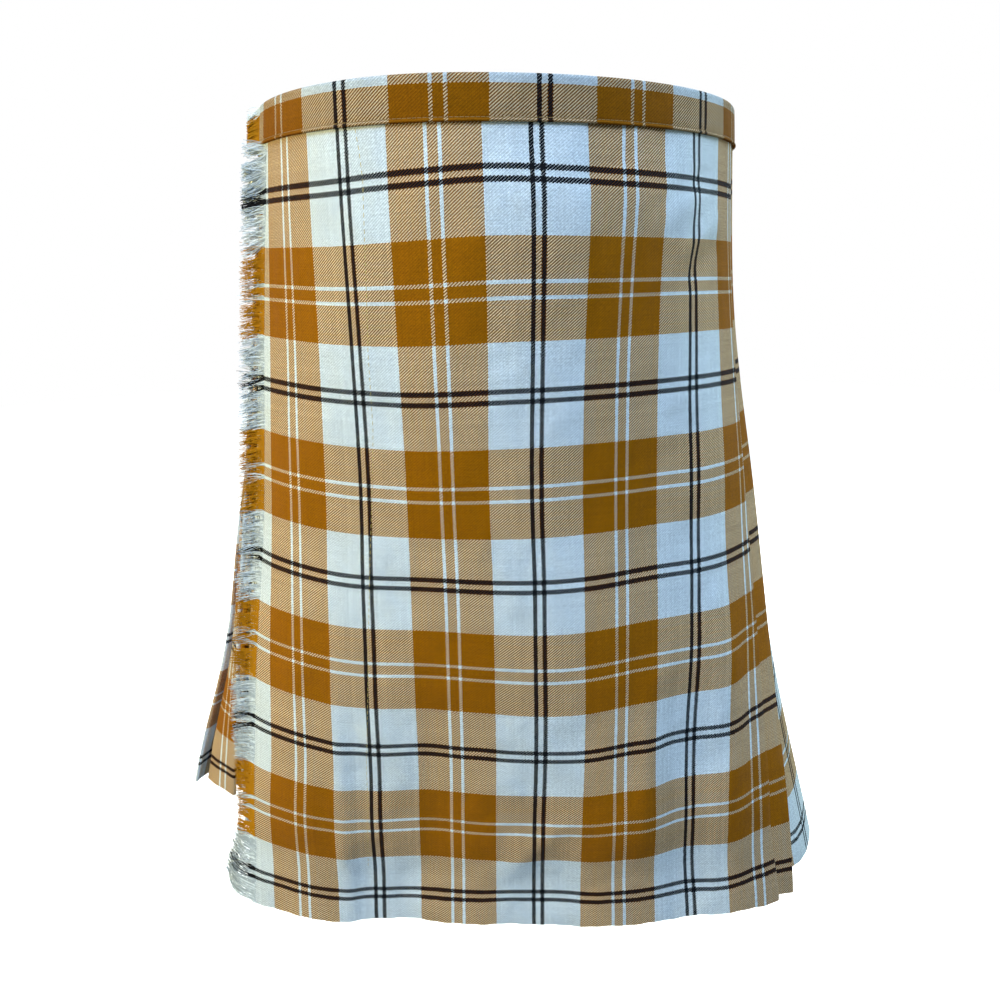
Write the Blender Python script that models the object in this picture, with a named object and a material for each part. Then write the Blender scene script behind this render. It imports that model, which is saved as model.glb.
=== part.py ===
"""Scottish kilt in worn, hollow form: two aprons, knife pleats, waistband, fringes, straps and buckles.

Metres, +Z up. The origin is the centre of the waist ring, at mid-height of the waistband.
The wearer faces -Y, and their left hand is at +X.

Every piece is laid out on one garment surface. A place on it is given by three sizes:
  across  length along the cloth, from the black stripe near the front's middle towards the
          wearer's left, round the back and on to the wearer's right
  drop    height below the top edge
  out     distance outwards from the outer apron's face
"""

import math
import random

import bmesh
import bpy
from mathutils import Vector

MM = 0.001

# Driving dimensions
LENGTH = 0.610
BAND_TALL = 0.026
WAIST_DEPTH = 0.300
STRIPE_X = 0.016
CLOTH = 1.2 * MM
PLEAT_CLOTH = 1.0 * MM
BAND_CLOTH = 1.0 * MM
SEAM_GAP = 0.3 * MM

# The garment's outline at five levels: four quarters of rounded shape that meet where it is
# widest. x_front is where the front stands furthest forward. At -X the cloth is near_wide beside
# the apron's free edge, drawn in by hollow behind it, and back_wide where the pleats fan out.
# A higher power is squarer.
SECTIONS = [
    # drop, x_front, near_wide, back_wide, plus_wide, front_depth, back_depth, near_power,
    # plus_power, back_power, hollow
    (0.000, -0.034, 0.153, 0.153, 0.208, 0.185, 0.115, 2.00, 2.00, 2.0, 0.000),
    (0.150, -0.027, 0.182, 0.182, 0.210, 0.169, 0.150, 2.00, 2.00, 2.0, 0.002),
    (0.300, -0.017, 0.222, 0.231, 0.226, 0.155, 0.185, 2.00, 2.00, 2.1, 0.012),
    (0.450, -0.008, 0.256, 0.268, 0.244, 0.168, 0.192, 2.60, 2.80, 2.5, 0.016),
    (0.610, 0.002, 0.315, 0.329, 0.274, 0.196, 0.190, 2.90, 4.00, 2.3, 0.054),
]
SECTION_STEPS = 48
FAN_START = -0.012
FAN_RUN = 0.055
HOLLOW_FROM = -0.130
HOLLOW_RISE = 0.060
HOLLOW_TO = 0.000
HOLLOW_FALL = 0.045

# Levels at which every cloth wall has a row of points
TOP_IN_BAND = BAND_CLOTH + SEAM_GAP
LEVELS = [TOP_IN_BAND, 0.026, 0.090, 0.170, 0.250, 0.330, 0.405, 0.475, 0.545, LENGTH]

# Outer apron
APRON_FREE_EDGE_TOP = -0.213
APRON_FREE_EDGE_HEM = -0.2400
APRON_FOLD = 0.196
APRON_COLUMNS = 34
SEAM_SHARE = 0.45
UNDER_APRON_END = 0.140
UNDER_COLUMNS = 22

# Soft folds of the aprons: ridges stand out, troughs lie in, and both fade out upwards.
APRON_FOLDS = [
    # across, top_drop, height_at_hem, half_width
    (-0.176, 0.300, 0.0030, 0.026),
    (-0.105, 0.330, -0.0060, 0.038),
    (0.062, 0.340, 0.0035, 0.036),
    (0.121, 0.330, -0.0035, 0.023),
]

# Knife pleats
PLEATS = 24
OVERLAP_SHARE = 0.70
PLEAT_STACK = [
    # drop, stack: depth from a fold's edge in to the fold that lies under it
    (0.000, 0.0044),
    (0.150, 0.0052),
    (0.300, 0.0095),
    (0.450, 0.0160),
    (0.610, 0.0230),
]
FACE_STEPS = 3
RETURN_STEPS = 2
FOLD_SWING = 0.008
PLEATS_DRAWN_IN = (0.026, -0.011)
DRAWN_IN_FROM = 0.250
LAST_FOLD_BEHIND_EDGE = 0.004
UNDER_START = 0.004
SINK = 0.0045
SINK_RUN = 0.090

# The waistband steps in or out over this length where the layers in it change
BAND_STEP_RUN = 0.008
FOLD_TIP = 0.001

# Fringes
FRINGE_STRANDS = 125
FRINGE_STRIP = 0.003
FRINGE_LENGTH = 0.0150
FRINGE_LONG_FROM = 0.500
FRINGE_LONG_RUN = 0.100
FRINGE_LENGTH_HEM = 0.0260
FRINGE_DROP = 0.0035
FRINGE_RISE = 0.004
FRINGE_RISE_TOP = 0.007
FRINGE_RISE_RUN = 0.300
FRINGE_END_ROOM = 0.001
LENGTH_SPREAD = (0.72, 1.12)
FALL_SPREAD = (0.2, 1.4)
RISE_SPREAD = (0.3, 1.3)
TUFT_END_ROOM = 0.0008
TUFT_RISE = 0.009
TUFT_STRANDS = 14
TUFT_LENGTH = 0.023
TUFT_DROP = 0.005

# Straps and buckles. Heights are above the cloth that a strap lies on, and runs start at the
# buckle's front bar and go along the strap to its tail.
STRAP_WIDE = 0.025
STRAP_THICK = 1.8 * MM
STRAP_DROP = BAND_TALL + 0.009 + STRAP_WIDE / 2
STRAP_LIES = SEAM_GAP + STRAP_THICK / 2
SLOT_HALF = 1.5 * MM
TAB_WIDE = 0.022
TAB_THICK = 1.2 * MM
TAB_LONG = 0.030
TAB_WRAP_STEPS = 7
TAB_WRAP_FROM = -85
TAB_WRAP_TURN = 190
TAB_CLEAR_OF_BAR = 0.009
BUCKLE_SPAN = 0.027
BUCKLE_TALL = 0.031
BUCKLE_CORNER = 0.004
WIRE = 1.5 * MM
PRONG = 1.0 * MM
BAR_HEIGHT = SEAM_GAP + STRAP_THICK + SEAM_GAP + WIRE
STRAP_OVER_BAR = BAR_HEIGHT + WIRE + TAB_THICK + 2 * SEAM_GAP + STRAP_THICK / 2
STRAP_ON_TAB = 2 * TAB_THICK + 3 * SEAM_GAP + STRAP_THICK / 2
TAIL_LONG = 0.046
TAIL_DIP = 1.2 * MM
LYING_TO = -0.006
RISE_START = 0.002
RISE_END = BUCKLE_SPAN - 0.002
PRONG_HOLE = (0.0085, 0.0205)
KEEPER_AT = 0.024
KEEPER_LONG = 0.007
KEEPER_FOOT = 0.004
KEEPER_SIDE_GAP = 0.5 * MM

RIGHT_FRONT_BAR = -0.2720
RIGHT_SEWN = (-0.186, -0.206)
LEFT_FRONT_BAR = 0.2771
LEFT_SEWN = (0.110, 0.138)
SLIT = (0.2501, 0.2555)
SLIT_OUT = (-4.4 * MM, 1.5 * MM)


def clear_scene():
    for obj in list(bpy.data.objects):
        bpy.data.objects.remove(obj, do_unlink=True)


def material(name, colour, roughness, metallic=0.0):
    made = bpy.data.materials.new(name)
    made.use_nodes = True
    shader = made.node_tree.nodes["Principled BSDF"]
    shader.inputs["Base Color"].default_value = (*colour, 1.0)
    shader.inputs["Roughness"].default_value = roughness
    shader.inputs["Metallic"].default_value = metallic
    return made


def smooth(share):
    share = min(max(share, 0.0), 1.0)
    return share * share * (3 - 2 * share)


def table_value(rows, at, column):
    """A smooth curve through one column of a table whose first column is the position."""
    places = [row[0] for row in rows]
    values = [row[column] for row in rows]
    at = min(max(at, places[0]), places[-1])
    slopes = []
    for i in range(len(rows)):
        low, high = max(i - 1, 0), min(i + 1, len(rows) - 1)
        slopes.append((values[high] - values[low]) / (places[high] - places[low]))
    span = next(i for i in range(len(rows) - 1) if at <= places[i + 1])
    width = places[span + 1] - places[span]
    s = (at - places[span]) / width
    return (
        values[span] * (2 * s**3 - 3 * s**2 + 1)
        + width * slopes[span] * (s**3 - 2 * s**2 + s)
        + values[span + 1] * (3 * s**2 - 2 * s**3)
        + width * slopes[span + 1] * (s**3 - s**2)
    )


class Section:
    """The garment's closed outline at one drop, measured along its length."""

    def __init__(self, drop):
        values = [table_value(SECTIONS, drop, column) for column in range(1, 11)]
        x_front, near, far, plus, front, back, near_power, plus_power, back_power, hollow = values
        y_wide = front - WAIST_DEPTH / 2
        quarters = [
            (1, -front, plus_power, False),
            (1, back, back_power, True),
            (-1, back, back_power, False),
            (-1, -front, near_power, True),
        ]
        self.points = []
        for side, deep, power, from_side in quarters:
            for step in range(SECTION_STEPS):
                turn = step / SECTION_STEPS * math.pi / 2
                if from_side:
                    turn = math.pi / 2 - turn
                size = (math.sin(turn) ** power + math.cos(turn) ** power) ** (-1 / power)
                y = y_wide + deep * size * math.cos(turn)
                wide = plus
                if side < 0:
                    wide = near + (far - near) * smooth((y - FAN_START) / FAN_RUN)
                    drawn_in = smooth((y - HOLLOW_FROM) / HOLLOW_RISE)
                    drawn_in *= 1 - smooth((y - HOLLOW_TO) / HOLLOW_FALL)
                    wide -= hollow * drawn_in
                self.points.append((x_front + side * wide * size * math.sin(turn), y))
        self.lengths = [0.0]
        for a, b in zip(self.points, self.points[1:] + self.points[:1]):
            self.lengths.append(self.lengths[-1] + math.dist(a, b))
        self.round = self.lengths[-1]
        self.start = self.length_at_x(STRIPE_X)

    def length_at_x(self, x):
        """Length from the front line to the place on the front, at +X of it, that lies at x."""
        for i in range(SECTION_STEPS):
            a, b = self.points[i], self.points[i + 1]
            if a[0] <= x <= b[0]:
                share = (x - a[0]) / (b[0] - a[0])
                return self.lengths[i] + share * (self.lengths[i + 1] - self.lengths[i])
        return 0.0

    def at(self, across):
        """Point at this length from the stripe, and the outward direction there."""
        want = (across + self.start) % self.round
        low, high = 0, len(self.points)
        while high - low > 1:
            middle = (low + high) // 2
            if self.lengths[middle] <= want:
                low = middle
            else:
                high = middle
        count = len(self.points)
        share = (want - self.lengths[low]) / (self.lengths[low + 1] - self.lengths[low])
        corners = [self.points[(low + k) % count] for k in (-1, 0, 1, 2)]
        before, a, b, after = corners
        start = (b[0] - before[0], b[1] - before[1])
        end = (after[0] - a[0], after[1] - a[1])
        along = (start[0] + share * (end[0] - start[0]), start[1] + share * (end[1] - start[1]))
        size = math.hypot(*along)
        point = (a[0] + share * (b[0] - a[0]), a[1] + share * (b[1] - a[1]))
        return point, (along[1] / size, -along[0] / size)


SECTION_CACHE = {}


def section(drop):
    key = round(drop, 6)
    if key not in SECTION_CACHE:
        SECTION_CACHE[key] = Section(drop)
    return SECTION_CACHE[key]


def fold_height(across, drop):
    """How far the soft folds move the cloth of both aprons outwards at a place."""
    ring = section(drop).round
    near = (across + ring / 2) % ring - ring / 2
    height = 0.0
    for middle, top_drop, at_hem, half_width in APRON_FOLDS:
        fade = smooth((drop - top_drop) / (LENGTH - top_drop))
        height += at_hem * fade * math.exp(-(((near - middle) / half_width) ** 2))
    return height


def place(across, drop, out):
    """The point in space of a place on the garment."""
    (x, y), (nx, ny) = section(drop).at(across)
    out += fold_height(across, drop)
    return Vector((x + nx * out, y + ny * out, BAND_TALL / 2 - drop))


def free_edge(drop):
    """Where the outer apron's fringed edge lies. The cloth is cut a little wider at the hem."""
    share = max(drop - BAND_TALL, 0.0) / (LENGTH - BAND_TALL)
    return APRON_FREE_EDGE_TOP + (APRON_FREE_EDGE_HEM - APRON_FREE_EDGE_TOP) * share


def last_fold(drop):
    """Where the last pleat's fold lies, just behind the fringed edge."""
    return section(drop).round + free_edge(drop) - LAST_FOLD_BEHIND_EDGE


def reveal(drop):
    """Width of each pleat that shows."""
    return (last_fold(drop) - APRON_FOLD) / PLEATS


def apron_fold(drop):
    """Where the outer apron's fold lies. It swings out a little just above the hem."""
    return APRON_FOLD + FOLD_SWING * smooth((drop - 0.530) / 0.080)


def pleat_drawn_in(k, drop):
    """How far pleat k, counted from the apron's fold, is drawn in towards it near the hem."""
    share = (drop - DRAWN_IN_FROM) / (LENGTH - DRAWN_IN_FROM)
    return PLEATS_DRAWN_IN[k] * max(share, 0.0) if k < len(PLEATS_DRAWN_IN) else 0.0


def stack(drop):
    return table_value(PLEAT_STACK, drop, 1)


def sink(across, drop):
    """The pleats nearest the fringed edge lie lower, so that the outer apron lies flat on them."""
    return SINK * smooth(1 - (last_fold(drop) - across) / SINK_RUN)


def under_out(drop):
    """Middle of the under apron's cloth: it runs level with the last pleat's inner layer."""
    return -(PLEAT_CLOTH / 2 + stack(drop) / (1 + OVERLAP_SHARE) + SINK)


def on_first_return(drop, share):
    """A place on the cloth turned under at the apron's fold. Share runs from the fold inwards."""
    tuck = OVERLAP_SHARE * reveal(drop)
    under = -PLEAT_CLOTH / 2 - stack(drop)
    return (APRON_FOLD - tuck * share, -CLOTH / 2 + (under + CLOTH / 2) * share)


def new_object(name, mesh_data, finish, round_shape=False):
    mesh = bpy.data.meshes.new(name)
    mesh_data.to_mesh(mesh)
    mesh_data.free()
    obj = bpy.data.objects.new(name, mesh)
    bpy.context.scene.collection.objects.link(obj)
    mesh.materials.append(finish)
    if round_shape:
        mesh.shade_smooth()
        mesh.set_sharp_from_angle(angle=math.radians(40))
    return obj


def outward(bm):
    """Turns all faces of a closed mesh to point outwards."""
    bmesh.ops.recalc_face_normals(bm, faces=bm.faces[:])
    if bm.calc_volume(signed=True) < 0:
        bmesh.ops.reverse_faces(bm, faces=bm.faces[:])


def sheet_solid(name, top, bottom, finish, missing=()):
    """A closed sheet between two grids of points. Cells listed as missing are holes through it."""
    bm = bmesh.new()
    rows, columns = len(top), len(top[0])
    upper = {}
    lower = {}

    def corner(kept, grid, i, j):
        if (i, j) not in kept:
            kept[i, j] = bm.verts.new(grid[i][j])
        return kept[i, j]

    cells = {(i, j) for i in range(rows - 1) for j in range(columns - 1)} - set(missing)
    for i, j in sorted(cells):
        ring = [(i, j), (i + 1, j), (i + 1, j + 1), (i, j + 1)]
        bm.faces.new([corner(upper, top, *at) for at in ring])
        bm.faces.new([corner(lower, bottom, *at) for at in reversed(ring)])
        beyond = [(i, j - 1), (i + 1, j), (i, j + 1), (i - 1, j)]
        for side, neighbour in enumerate(beyond):
            if neighbour in cells:
                continue
            a, b = ring[side], ring[(side + 1) % 4]
            bm.faces.new(
                [
                    corner(upper, top, *b),
                    corner(upper, top, *a),
                    corner(lower, bottom, *a),
                    corner(lower, bottom, *b),
                ]
            )
    outward(bm)
    return new_object(name, bm, finish, round_shape=True)


def ribbon_sides(path, half, sharp=math.radians(60)):
    """Both sides of a ribbon along a path of (across, out) points, as pairs of points.

    A sharp fold gets two points on its outer side and one on its inner side.
    """
    pairs = []
    for i, (x, y) in enumerate(path):
        here = Vector((x, y))
        arrive = (here - Vector(path[i - 1])).normalized() if i else None
        leave = (Vector(path[i + 1]) - here).normalized() if i + 1 < len(path) else None
        arrive = arrive or leave
        leave = leave or arrive
        left_a = Vector((-arrive.y, arrive.x))
        left_b = Vector((-leave.y, leave.x))
        turn = arrive.cross(leave)
        bend = arrive.angle(leave)
        middle = left_a + left_b
        if bend < sharp:
            shift = middle.normalized() * half / math.cos(bend / 2)
            pairs.append((here + shift, here - shift))
            continue
        shift = middle.normalized() * half / math.cos(bend / 2)
        tip = arrive * half
        outer_sign = -1 if turn > 0 else 1
        outer_a = here + left_a * half * outer_sign + tip * 0.6
        outer_b = here + left_b * half * outer_sign - leave * half * 0.6
        inner = here - shift * outer_sign
        for outer in (outer_a, outer_b):
            pairs.append((outer, inner) if outer_sign > 0 else (inner, outer))
    return pairs


def ribbon_solid(name, levels, path_at, half, finish):
    """A closed wall that follows the path at each level, sharp folds included."""
    bm = bmesh.new()
    rows = []
    for drop in levels:
        made = {}
        row = []
        for left, right in ribbon_sides(path_at(drop), half):
            ends = []
            for side in (left, right):
                key = (round(side.x, 7), round(side.y, 7))
                if key not in made:
                    made[key] = bm.verts.new(place(side.x, drop, side.y))
                ends.append(made[key])
            row.append(ends)
        rows.append(row)

    def face(corners):
        kept = [v for k, v in enumerate(corners) if v is not corners[k - 1]]
        if len(kept) > 2:
            bm.faces.new(kept)

    for upper, lower in zip(rows, rows[1:]):
        for a, b, c, d in zip(upper, upper[1:], lower, lower[1:]):
            face([a[0], b[0], d[0], c[0]])
            face([b[1], a[1], c[1], d[1]])
        for end in (0, -1):
            face([upper[end][0], upper[end][1], lower[end][1], lower[end][0]])
    for row in (rows[0], rows[-1]):
        for a, b in zip(row, row[1:]):
            face([a[0], b[0], b[1], a[1]])
    outward(bm)
    return new_object(name, bm, finish)


def spread(start, end, count):
    return [start + (end - start) * k / count for k in range(count + 1)]


def build_outer_apron(finish):
    """The front panel: one layer from its fringed edge to the fold, and the cloth turned under it."""
    middle = -CLOTH / 2

    def path(drop):
        places = [(t, middle) for t in spread(free_edge(drop), apron_fold(drop), APRON_COLUMNS)]
        return places + [on_first_return(drop, SEAM_SHARE)]

    return ribbon_solid("outer_apron", LEVELS, path, CLOTH / 2, finish)


def build_pleats(finish):
    """Knife pleats from the outer apron's fold round the back. Each folded edge points onwards."""
    top = -PLEAT_CLOTH / 2

    def path(drop):
        wide = reveal(drop)
        tuck = OVERLAP_SHARE * wide
        deep = stack(drop)
        places = []

        def face_out(fold, across):
            return top - deep * (fold - across) / (wide + tuck) - sink(across, drop)

        places.append(on_first_return(drop, SEAM_SHARE + SEAM_GAP / tuck))
        for k in range(PLEATS):
            fold = APRON_FOLD + wide * (k + 1)
            start = fold - wide - tuck
            edge = fold - pleat_drawn_in(k, drop)
            for step in range(FACE_STEPS + 1):
                share = step / FACE_STEPS
                across = start + (edge - start) * share
                low = face_out(fold, start) + sink(start, drop)
                places.append((across, low + (top - low) * share - sink(across, drop)))
            fold_out = places[-1][1]
            next_out = face_out(fold + wide, fold - tuck)
            for step in range(1, RETURN_STEPS):
                share = step / RETURN_STEPS
                across = edge + (fold - tuck - edge) * share
                places.append((across, fold_out + (next_out - fold_out) * share))
        fold = last_fold(drop) + wide
        start = fold - wide - tuck
        end = last_fold(drop) + UNDER_START - SEAM_GAP
        for across in (start, start + tuck / 2, end):
            share = (across - start) / (end - start)
            low = face_out(fold, start)
            places.append((across, low + (under_out(drop) - low) * share))
        return places

    return ribbon_solid("pleated_back", LEVELS, path, PLEAT_CLOTH / 2, finish)


def build_under_apron(finish):
    """The hidden front panel, from the last pleat across the front to the wearer's left."""

    def path(drop):
        start = last_fold(drop) + UNDER_START - section(drop).round
        out = under_out(drop)
        return [(t, out) for t in spread(start, UNDER_APRON_END, UNDER_COLUMNS)]

    return ribbon_solid("under_apron", LEVELS, path, PLEAT_CLOTH / 2, finish)


def band_stations(drop):
    """Places along the waistband, each with the faces of the cloth that it is folded over.

    It starts at the outer apron's fringed edge, passes once round the waist over the pleats
    and ends on the under apron, inside the front.
    """
    tuck = OVERLAP_SHARE * reveal(drop)
    pleat_depth = PLEAT_CLOTH + stack(drop)
    pleats_start = APRON_FOLD - tuck - FOLD_TIP
    pleats_end = last_fold(drop) + FOLD_TIP
    stations = []
    for t in spread(free_edge(drop), pleats_start - BAND_STEP_RUN, APRON_COLUMNS):
        stations.append((t, 0.0, -CLOTH))
    over_pleats = [pleats_start, (pleats_start + APRON_FOLD) / 2]
    over_pleats += spread(APRON_FOLD, last_fold(drop), 2 * PLEATS) + [pleats_end]
    for t in over_pleats:
        low = sink(t, drop)
        stations.append((t, -low, -pleat_depth - low))
    start = last_fold(drop) + UNDER_START + BAND_STEP_RUN
    end = section(drop).round + UNDER_APRON_END
    half = PLEAT_CLOTH / 2
    for t in spread(start, end, UNDER_COLUMNS):
        stations.append((t, under_out(drop) + half, under_out(drop) - half))
    return stations


def build_waistband(finish):
    """A strip folded over the top edge of the cloth, like an upturned U."""
    bm = bmesh.new()
    beyond = SEAM_GAP + BAND_CLOTH
    # drop, which face of the cloth it follows (1 outer, 2 inner), and how far outside that face
    profile = [
        (BAND_TALL, 1, beyond),
        (0.0, 1, beyond),
        (0.0, 2, -beyond),
        (BAND_TALL, 2, -beyond),
        (BAND_TALL, 2, -SEAM_GAP),
        (BAND_CLOTH, 2, -SEAM_GAP),
        (BAND_CLOTH, 1, SEAM_GAP),
        (BAND_TALL, 1, SEAM_GAP),
    ]
    stations = {drop: band_stations(drop) for drop in (0.0, BAND_CLOTH, BAND_TALL)}
    rings = []
    for k in range(len(stations[0.0])):
        ring = []
        for drop, side, outside in profile:
            station = stations[drop][k]
            ring.append(bm.verts.new(place(station[0], drop, station[side] + outside)))
        rings.append(ring)
    for a, b in zip(rings, rings[1:]):
        for k in range(len(profile)):
            after = (k + 1) % len(profile)
            bm.faces.new([a[k], a[after], b[after], b[k]])
    for ring in (rings[0], rings[-1]):
        bm.faces.new([ring[0], ring[1], ring[6], ring[7]])
        bm.faces.new([ring[1], ring[2], ring[5], ring[6]])
        bm.faces.new([ring[2], ring[3], ring[4], ring[5]])
    outward(bm)
    return new_object("waistband", bm, finish)


def fringe_solid(name, edge, drops, out_low, out_high, length, fall, rise, seed, finish):
    """A strip beside a cloth edge with yarn ends standing from it, one to every second stretch."""
    rng = random.Random(seed)
    bm = bmesh.new()
    rings = []
    for drop in drops:
        near = edge(drop) - SEAM_GAP
        far = near - FRINGE_STRIP
        corners = [(near, out_high), (far, out_high), (far, out_low), (near, out_low)]
        rings.append([bm.verts.new(place(t, drop, out)) for t, out in corners])
    for k, (a, b) in enumerate(zip(rings, rings[1:])):
        for side in (0, 2, 3):
            after = (side + 1) % 4
            bm.faces.new([a[side], a[after], b[after], b[side]])
        if k % 2:
            bm.faces.new([a[1], a[2], b[2], b[1]])
            continue
        top, bottom = drops[k], drops[k + 1]
        long = length(top) * rng.uniform(*LENGTH_SPREAD)
        drop = (top + bottom) / 2 + fall(top) * rng.uniform(*FALL_SPREAD)
        across = edge(top) - SEAM_GAP - FRINGE_STRIP - long
        out = (out_low + out_high) / 2 + rise(top) * rng.uniform(*RISE_SPREAD)
        half = (bottom - top) * 0.25
        drop = min(drop, drops[-1] - half)
        tip = [
            bm.verts.new(place(across, drop - half, out)),
            bm.verts.new(place(across, drop + half, out + half)),
            bm.verts.new(place(across, drop + half, out - half)),
        ]
        base = [a[1], b[1], b[2], a[2]]
        bm.faces.new([base[0], base[1], tip[1], tip[0]])
        bm.faces.new([base[1], base[2], tip[2], tip[1]])
        bm.faces.new([base[2], base[3], tip[0], tip[2]])
        bm.faces.new([base[3], base[0], tip[0]])
        bm.faces.new(tip)
    for ring in (rings[0], rings[-1]):
        bm.faces.new(ring)
    outward(bm)
    return new_object(name, bm, finish)


def build_apron_fringe(finish):
    """The outer apron's edge frayed into yarn ends."""
    first = BAND_TALL + FRINGE_END_ROOM
    drops = spread(first, LENGTH - FRINGE_END_ROOM, 2 * FRINGE_STRANDS - 1)

    def length(drop):
        longer = smooth((drop - FRINGE_LONG_FROM) / FRINGE_LONG_RUN)
        return FRINGE_LENGTH + (FRINGE_LENGTH_HEM - FRINGE_LENGTH) * longer

    def fall(drop):
        return FRINGE_DROP

    def rise(drop):
        return FRINGE_RISE + (FRINGE_RISE_TOP - FRINGE_RISE) * smooth(1 - drop / FRINGE_RISE_RUN)

    return fringe_solid(
        "apron_fringe", free_edge, drops, -CLOTH, 0.0, length, fall, rise, 7, finish
    )


def build_band_fringe(finish):
    """The waistband's end at the fringed edge, frayed into a tuft."""
    drops = spread(TUFT_END_ROOM, BAND_TALL - TUFT_END_ROOM, 2 * TUFT_STRANDS - 1)
    low = -CLOTH - SEAM_GAP - BAND_CLOTH
    high = SEAM_GAP + BAND_CLOTH

    def edge(drop):
        return free_edge(TOP_IN_BAND)

    def length(drop):
        return TUFT_LENGTH

    def fall(drop):
        return TUFT_DROP

    def rise(drop):
        return TUFT_RISE

    return fringe_solid(
        "band_fringe", edge, drops, low, high, length, fall, rise, 11, finish
    )


class Strap:
    """A leather strap on one side of the waist, from under an apron to its buckle and tail."""

    def __init__(self, side, front_bar, way):
        self.side = side
        self.front_bar = front_bar
        self.way = way

    def across(self, run):
        """Place along the cloth of a run from the buckle's front bar."""
        return self.front_bar + self.way * run

    def point(self, run, down, height):
        """A point at a run along the strap, down from its middle, at a height above the cloth."""
        drop = STRAP_DROP + down
        across = self.across(run)
        around = across if across > 0 else across + section(drop).round
        return place(across, drop, height - sink(around, drop))

    def solid(self, name, path, half, breadths, finish, missing=()):
        """A strip of leather along a path of (run, height), across the given breadths."""
        sides = ribbon_sides(path, half)
        top = [[self.point(a.x, down, a.y) for down in breadths] for a, _ in sides]
        bottom = [[self.point(b.x, down, b.y) for down in breadths] for _, b in sides]
        return sheet_solid(f"{self.side}_{name}", top, bottom, finish, missing)


def rod(name, points, radii, sides, finish, closed=False):
    """A round bar along points. A closed one joins its ends; an open one has flat ends."""
    bm = bmesh.new()
    count = len(points)
    rings = []
    for i, point in enumerate(points):
        before = points[i - 1] if i or closed else point
        after = points[(i + 1) % count] if i + 1 < count or closed else point
        along = (after - before).normalized()
        up = along.cross(Vector((0, 0, 1)))
        if up.length < 0.3:
            up = along.cross(Vector((1, 0, 0)))
        up.normalize()
        side = along.cross(up)
        ring = []
        for k in range(sides):
            turn = 2 * math.pi * k / sides
            spoke = up * math.cos(turn) + side * math.sin(turn)
            ring.append(bm.verts.new(point + spoke * radii[i]))
        rings.append(ring)
    joins = list(zip(rings, rings[1:]))
    if closed:
        joins.append((rings[-1], rings[0]))
    else:
        bm.faces.new(rings[0])
        bm.faces.new(rings[-1])
    for a, b in joins:
        shift = min(range(sides), key=lambda k: (b[k].co - a[0].co).length) if closed else 0
        for k in range(sides):
            after = (k + 1) % sides
            bm.faces.new([a[k], a[after], b[(after + shift) % sides], b[(k + shift) % sides]])
    outward(bm)
    return new_object(name, bm, finish, round_shape=True)


def strap_breadths():
    half = STRAP_WIDE / 2
    return [-half, -SLOT_HALF, SLOT_HALF, half]


def build_strap(strap, start, leather):
    """The strap: start is its path up to the buckle; then it goes under the front bar, over the
    rear bar and along its tail. The buckle's prong comes up through a long hole in it."""
    slope = (STRAP_OVER_BAR - STRAP_LIES) / (RISE_END - RISE_START)
    path = start + [(LYING_TO, STRAP_LIES), (RISE_START, STRAP_LIES)]
    hole_start = len(path)
    path += [(run, STRAP_LIES + slope * (run - RISE_START)) for run in PRONG_HOLE]
    tail = BUCKLE_SPAN
    path += [
        (RISE_END, STRAP_OVER_BAR),
        (tail + 0.09 * TAIL_LONG, STRAP_OVER_BAR - 0.5 * TAIL_DIP),
        (tail + 0.30 * TAIL_LONG, STRAP_ON_TAB + 0.3 * TAIL_DIP),
        (tail + 0.44 * TAIL_LONG, STRAP_ON_TAB),
        (tail + 0.74 * TAIL_LONG, STRAP_ON_TAB),
        (tail + TAIL_LONG, STRAP_ON_TAB - TAIL_DIP),
    ]
    slot_cell = (hole_start, 1)
    strap.solid("strap", path, STRAP_THICK / 2, strap_breadths(), leather, {slot_cell})


def build_tab(strap, leather):
    """A short piece of leather sewn to the pleats and folded round the buckle's rear bar."""
    half = TAB_THICK / 2
    low = SEAM_GAP + half
    high = low + TAB_THICK + SEAM_GAP
    wrap = WIRE + SEAM_GAP + half
    bar = (BUCKLE_SPAN, BAR_HEIGHT)
    end = BUCKLE_SPAN + TAB_LONG
    near = BUCKLE_SPAN + TAB_CLEAR_OF_BAR
    path = [(run, low) for run in spread(end, near, 3)]
    first_turn = len(path)
    for step in range(TAB_WRAP_STEPS + 1):
        turn = math.radians(TAB_WRAP_FROM + TAB_WRAP_TURN * step / TAB_WRAP_STEPS)
        path.append((bar[0] - wrap * math.cos(turn), bar[1] + wrap * math.sin(turn)))
    path += [(run, high) for run in spread(near + 0.002, end - 0.003, 2)]
    wide = TAB_WIDE / 2
    breadths = [-wide, -SLOT_HALF, SLOT_HALF, wide]
    slot = {(i, 1) for i in range(first_turn + 1, first_turn + 5)}
    strap.solid("strap_tab", path, half, breadths, leather, slot)


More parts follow.
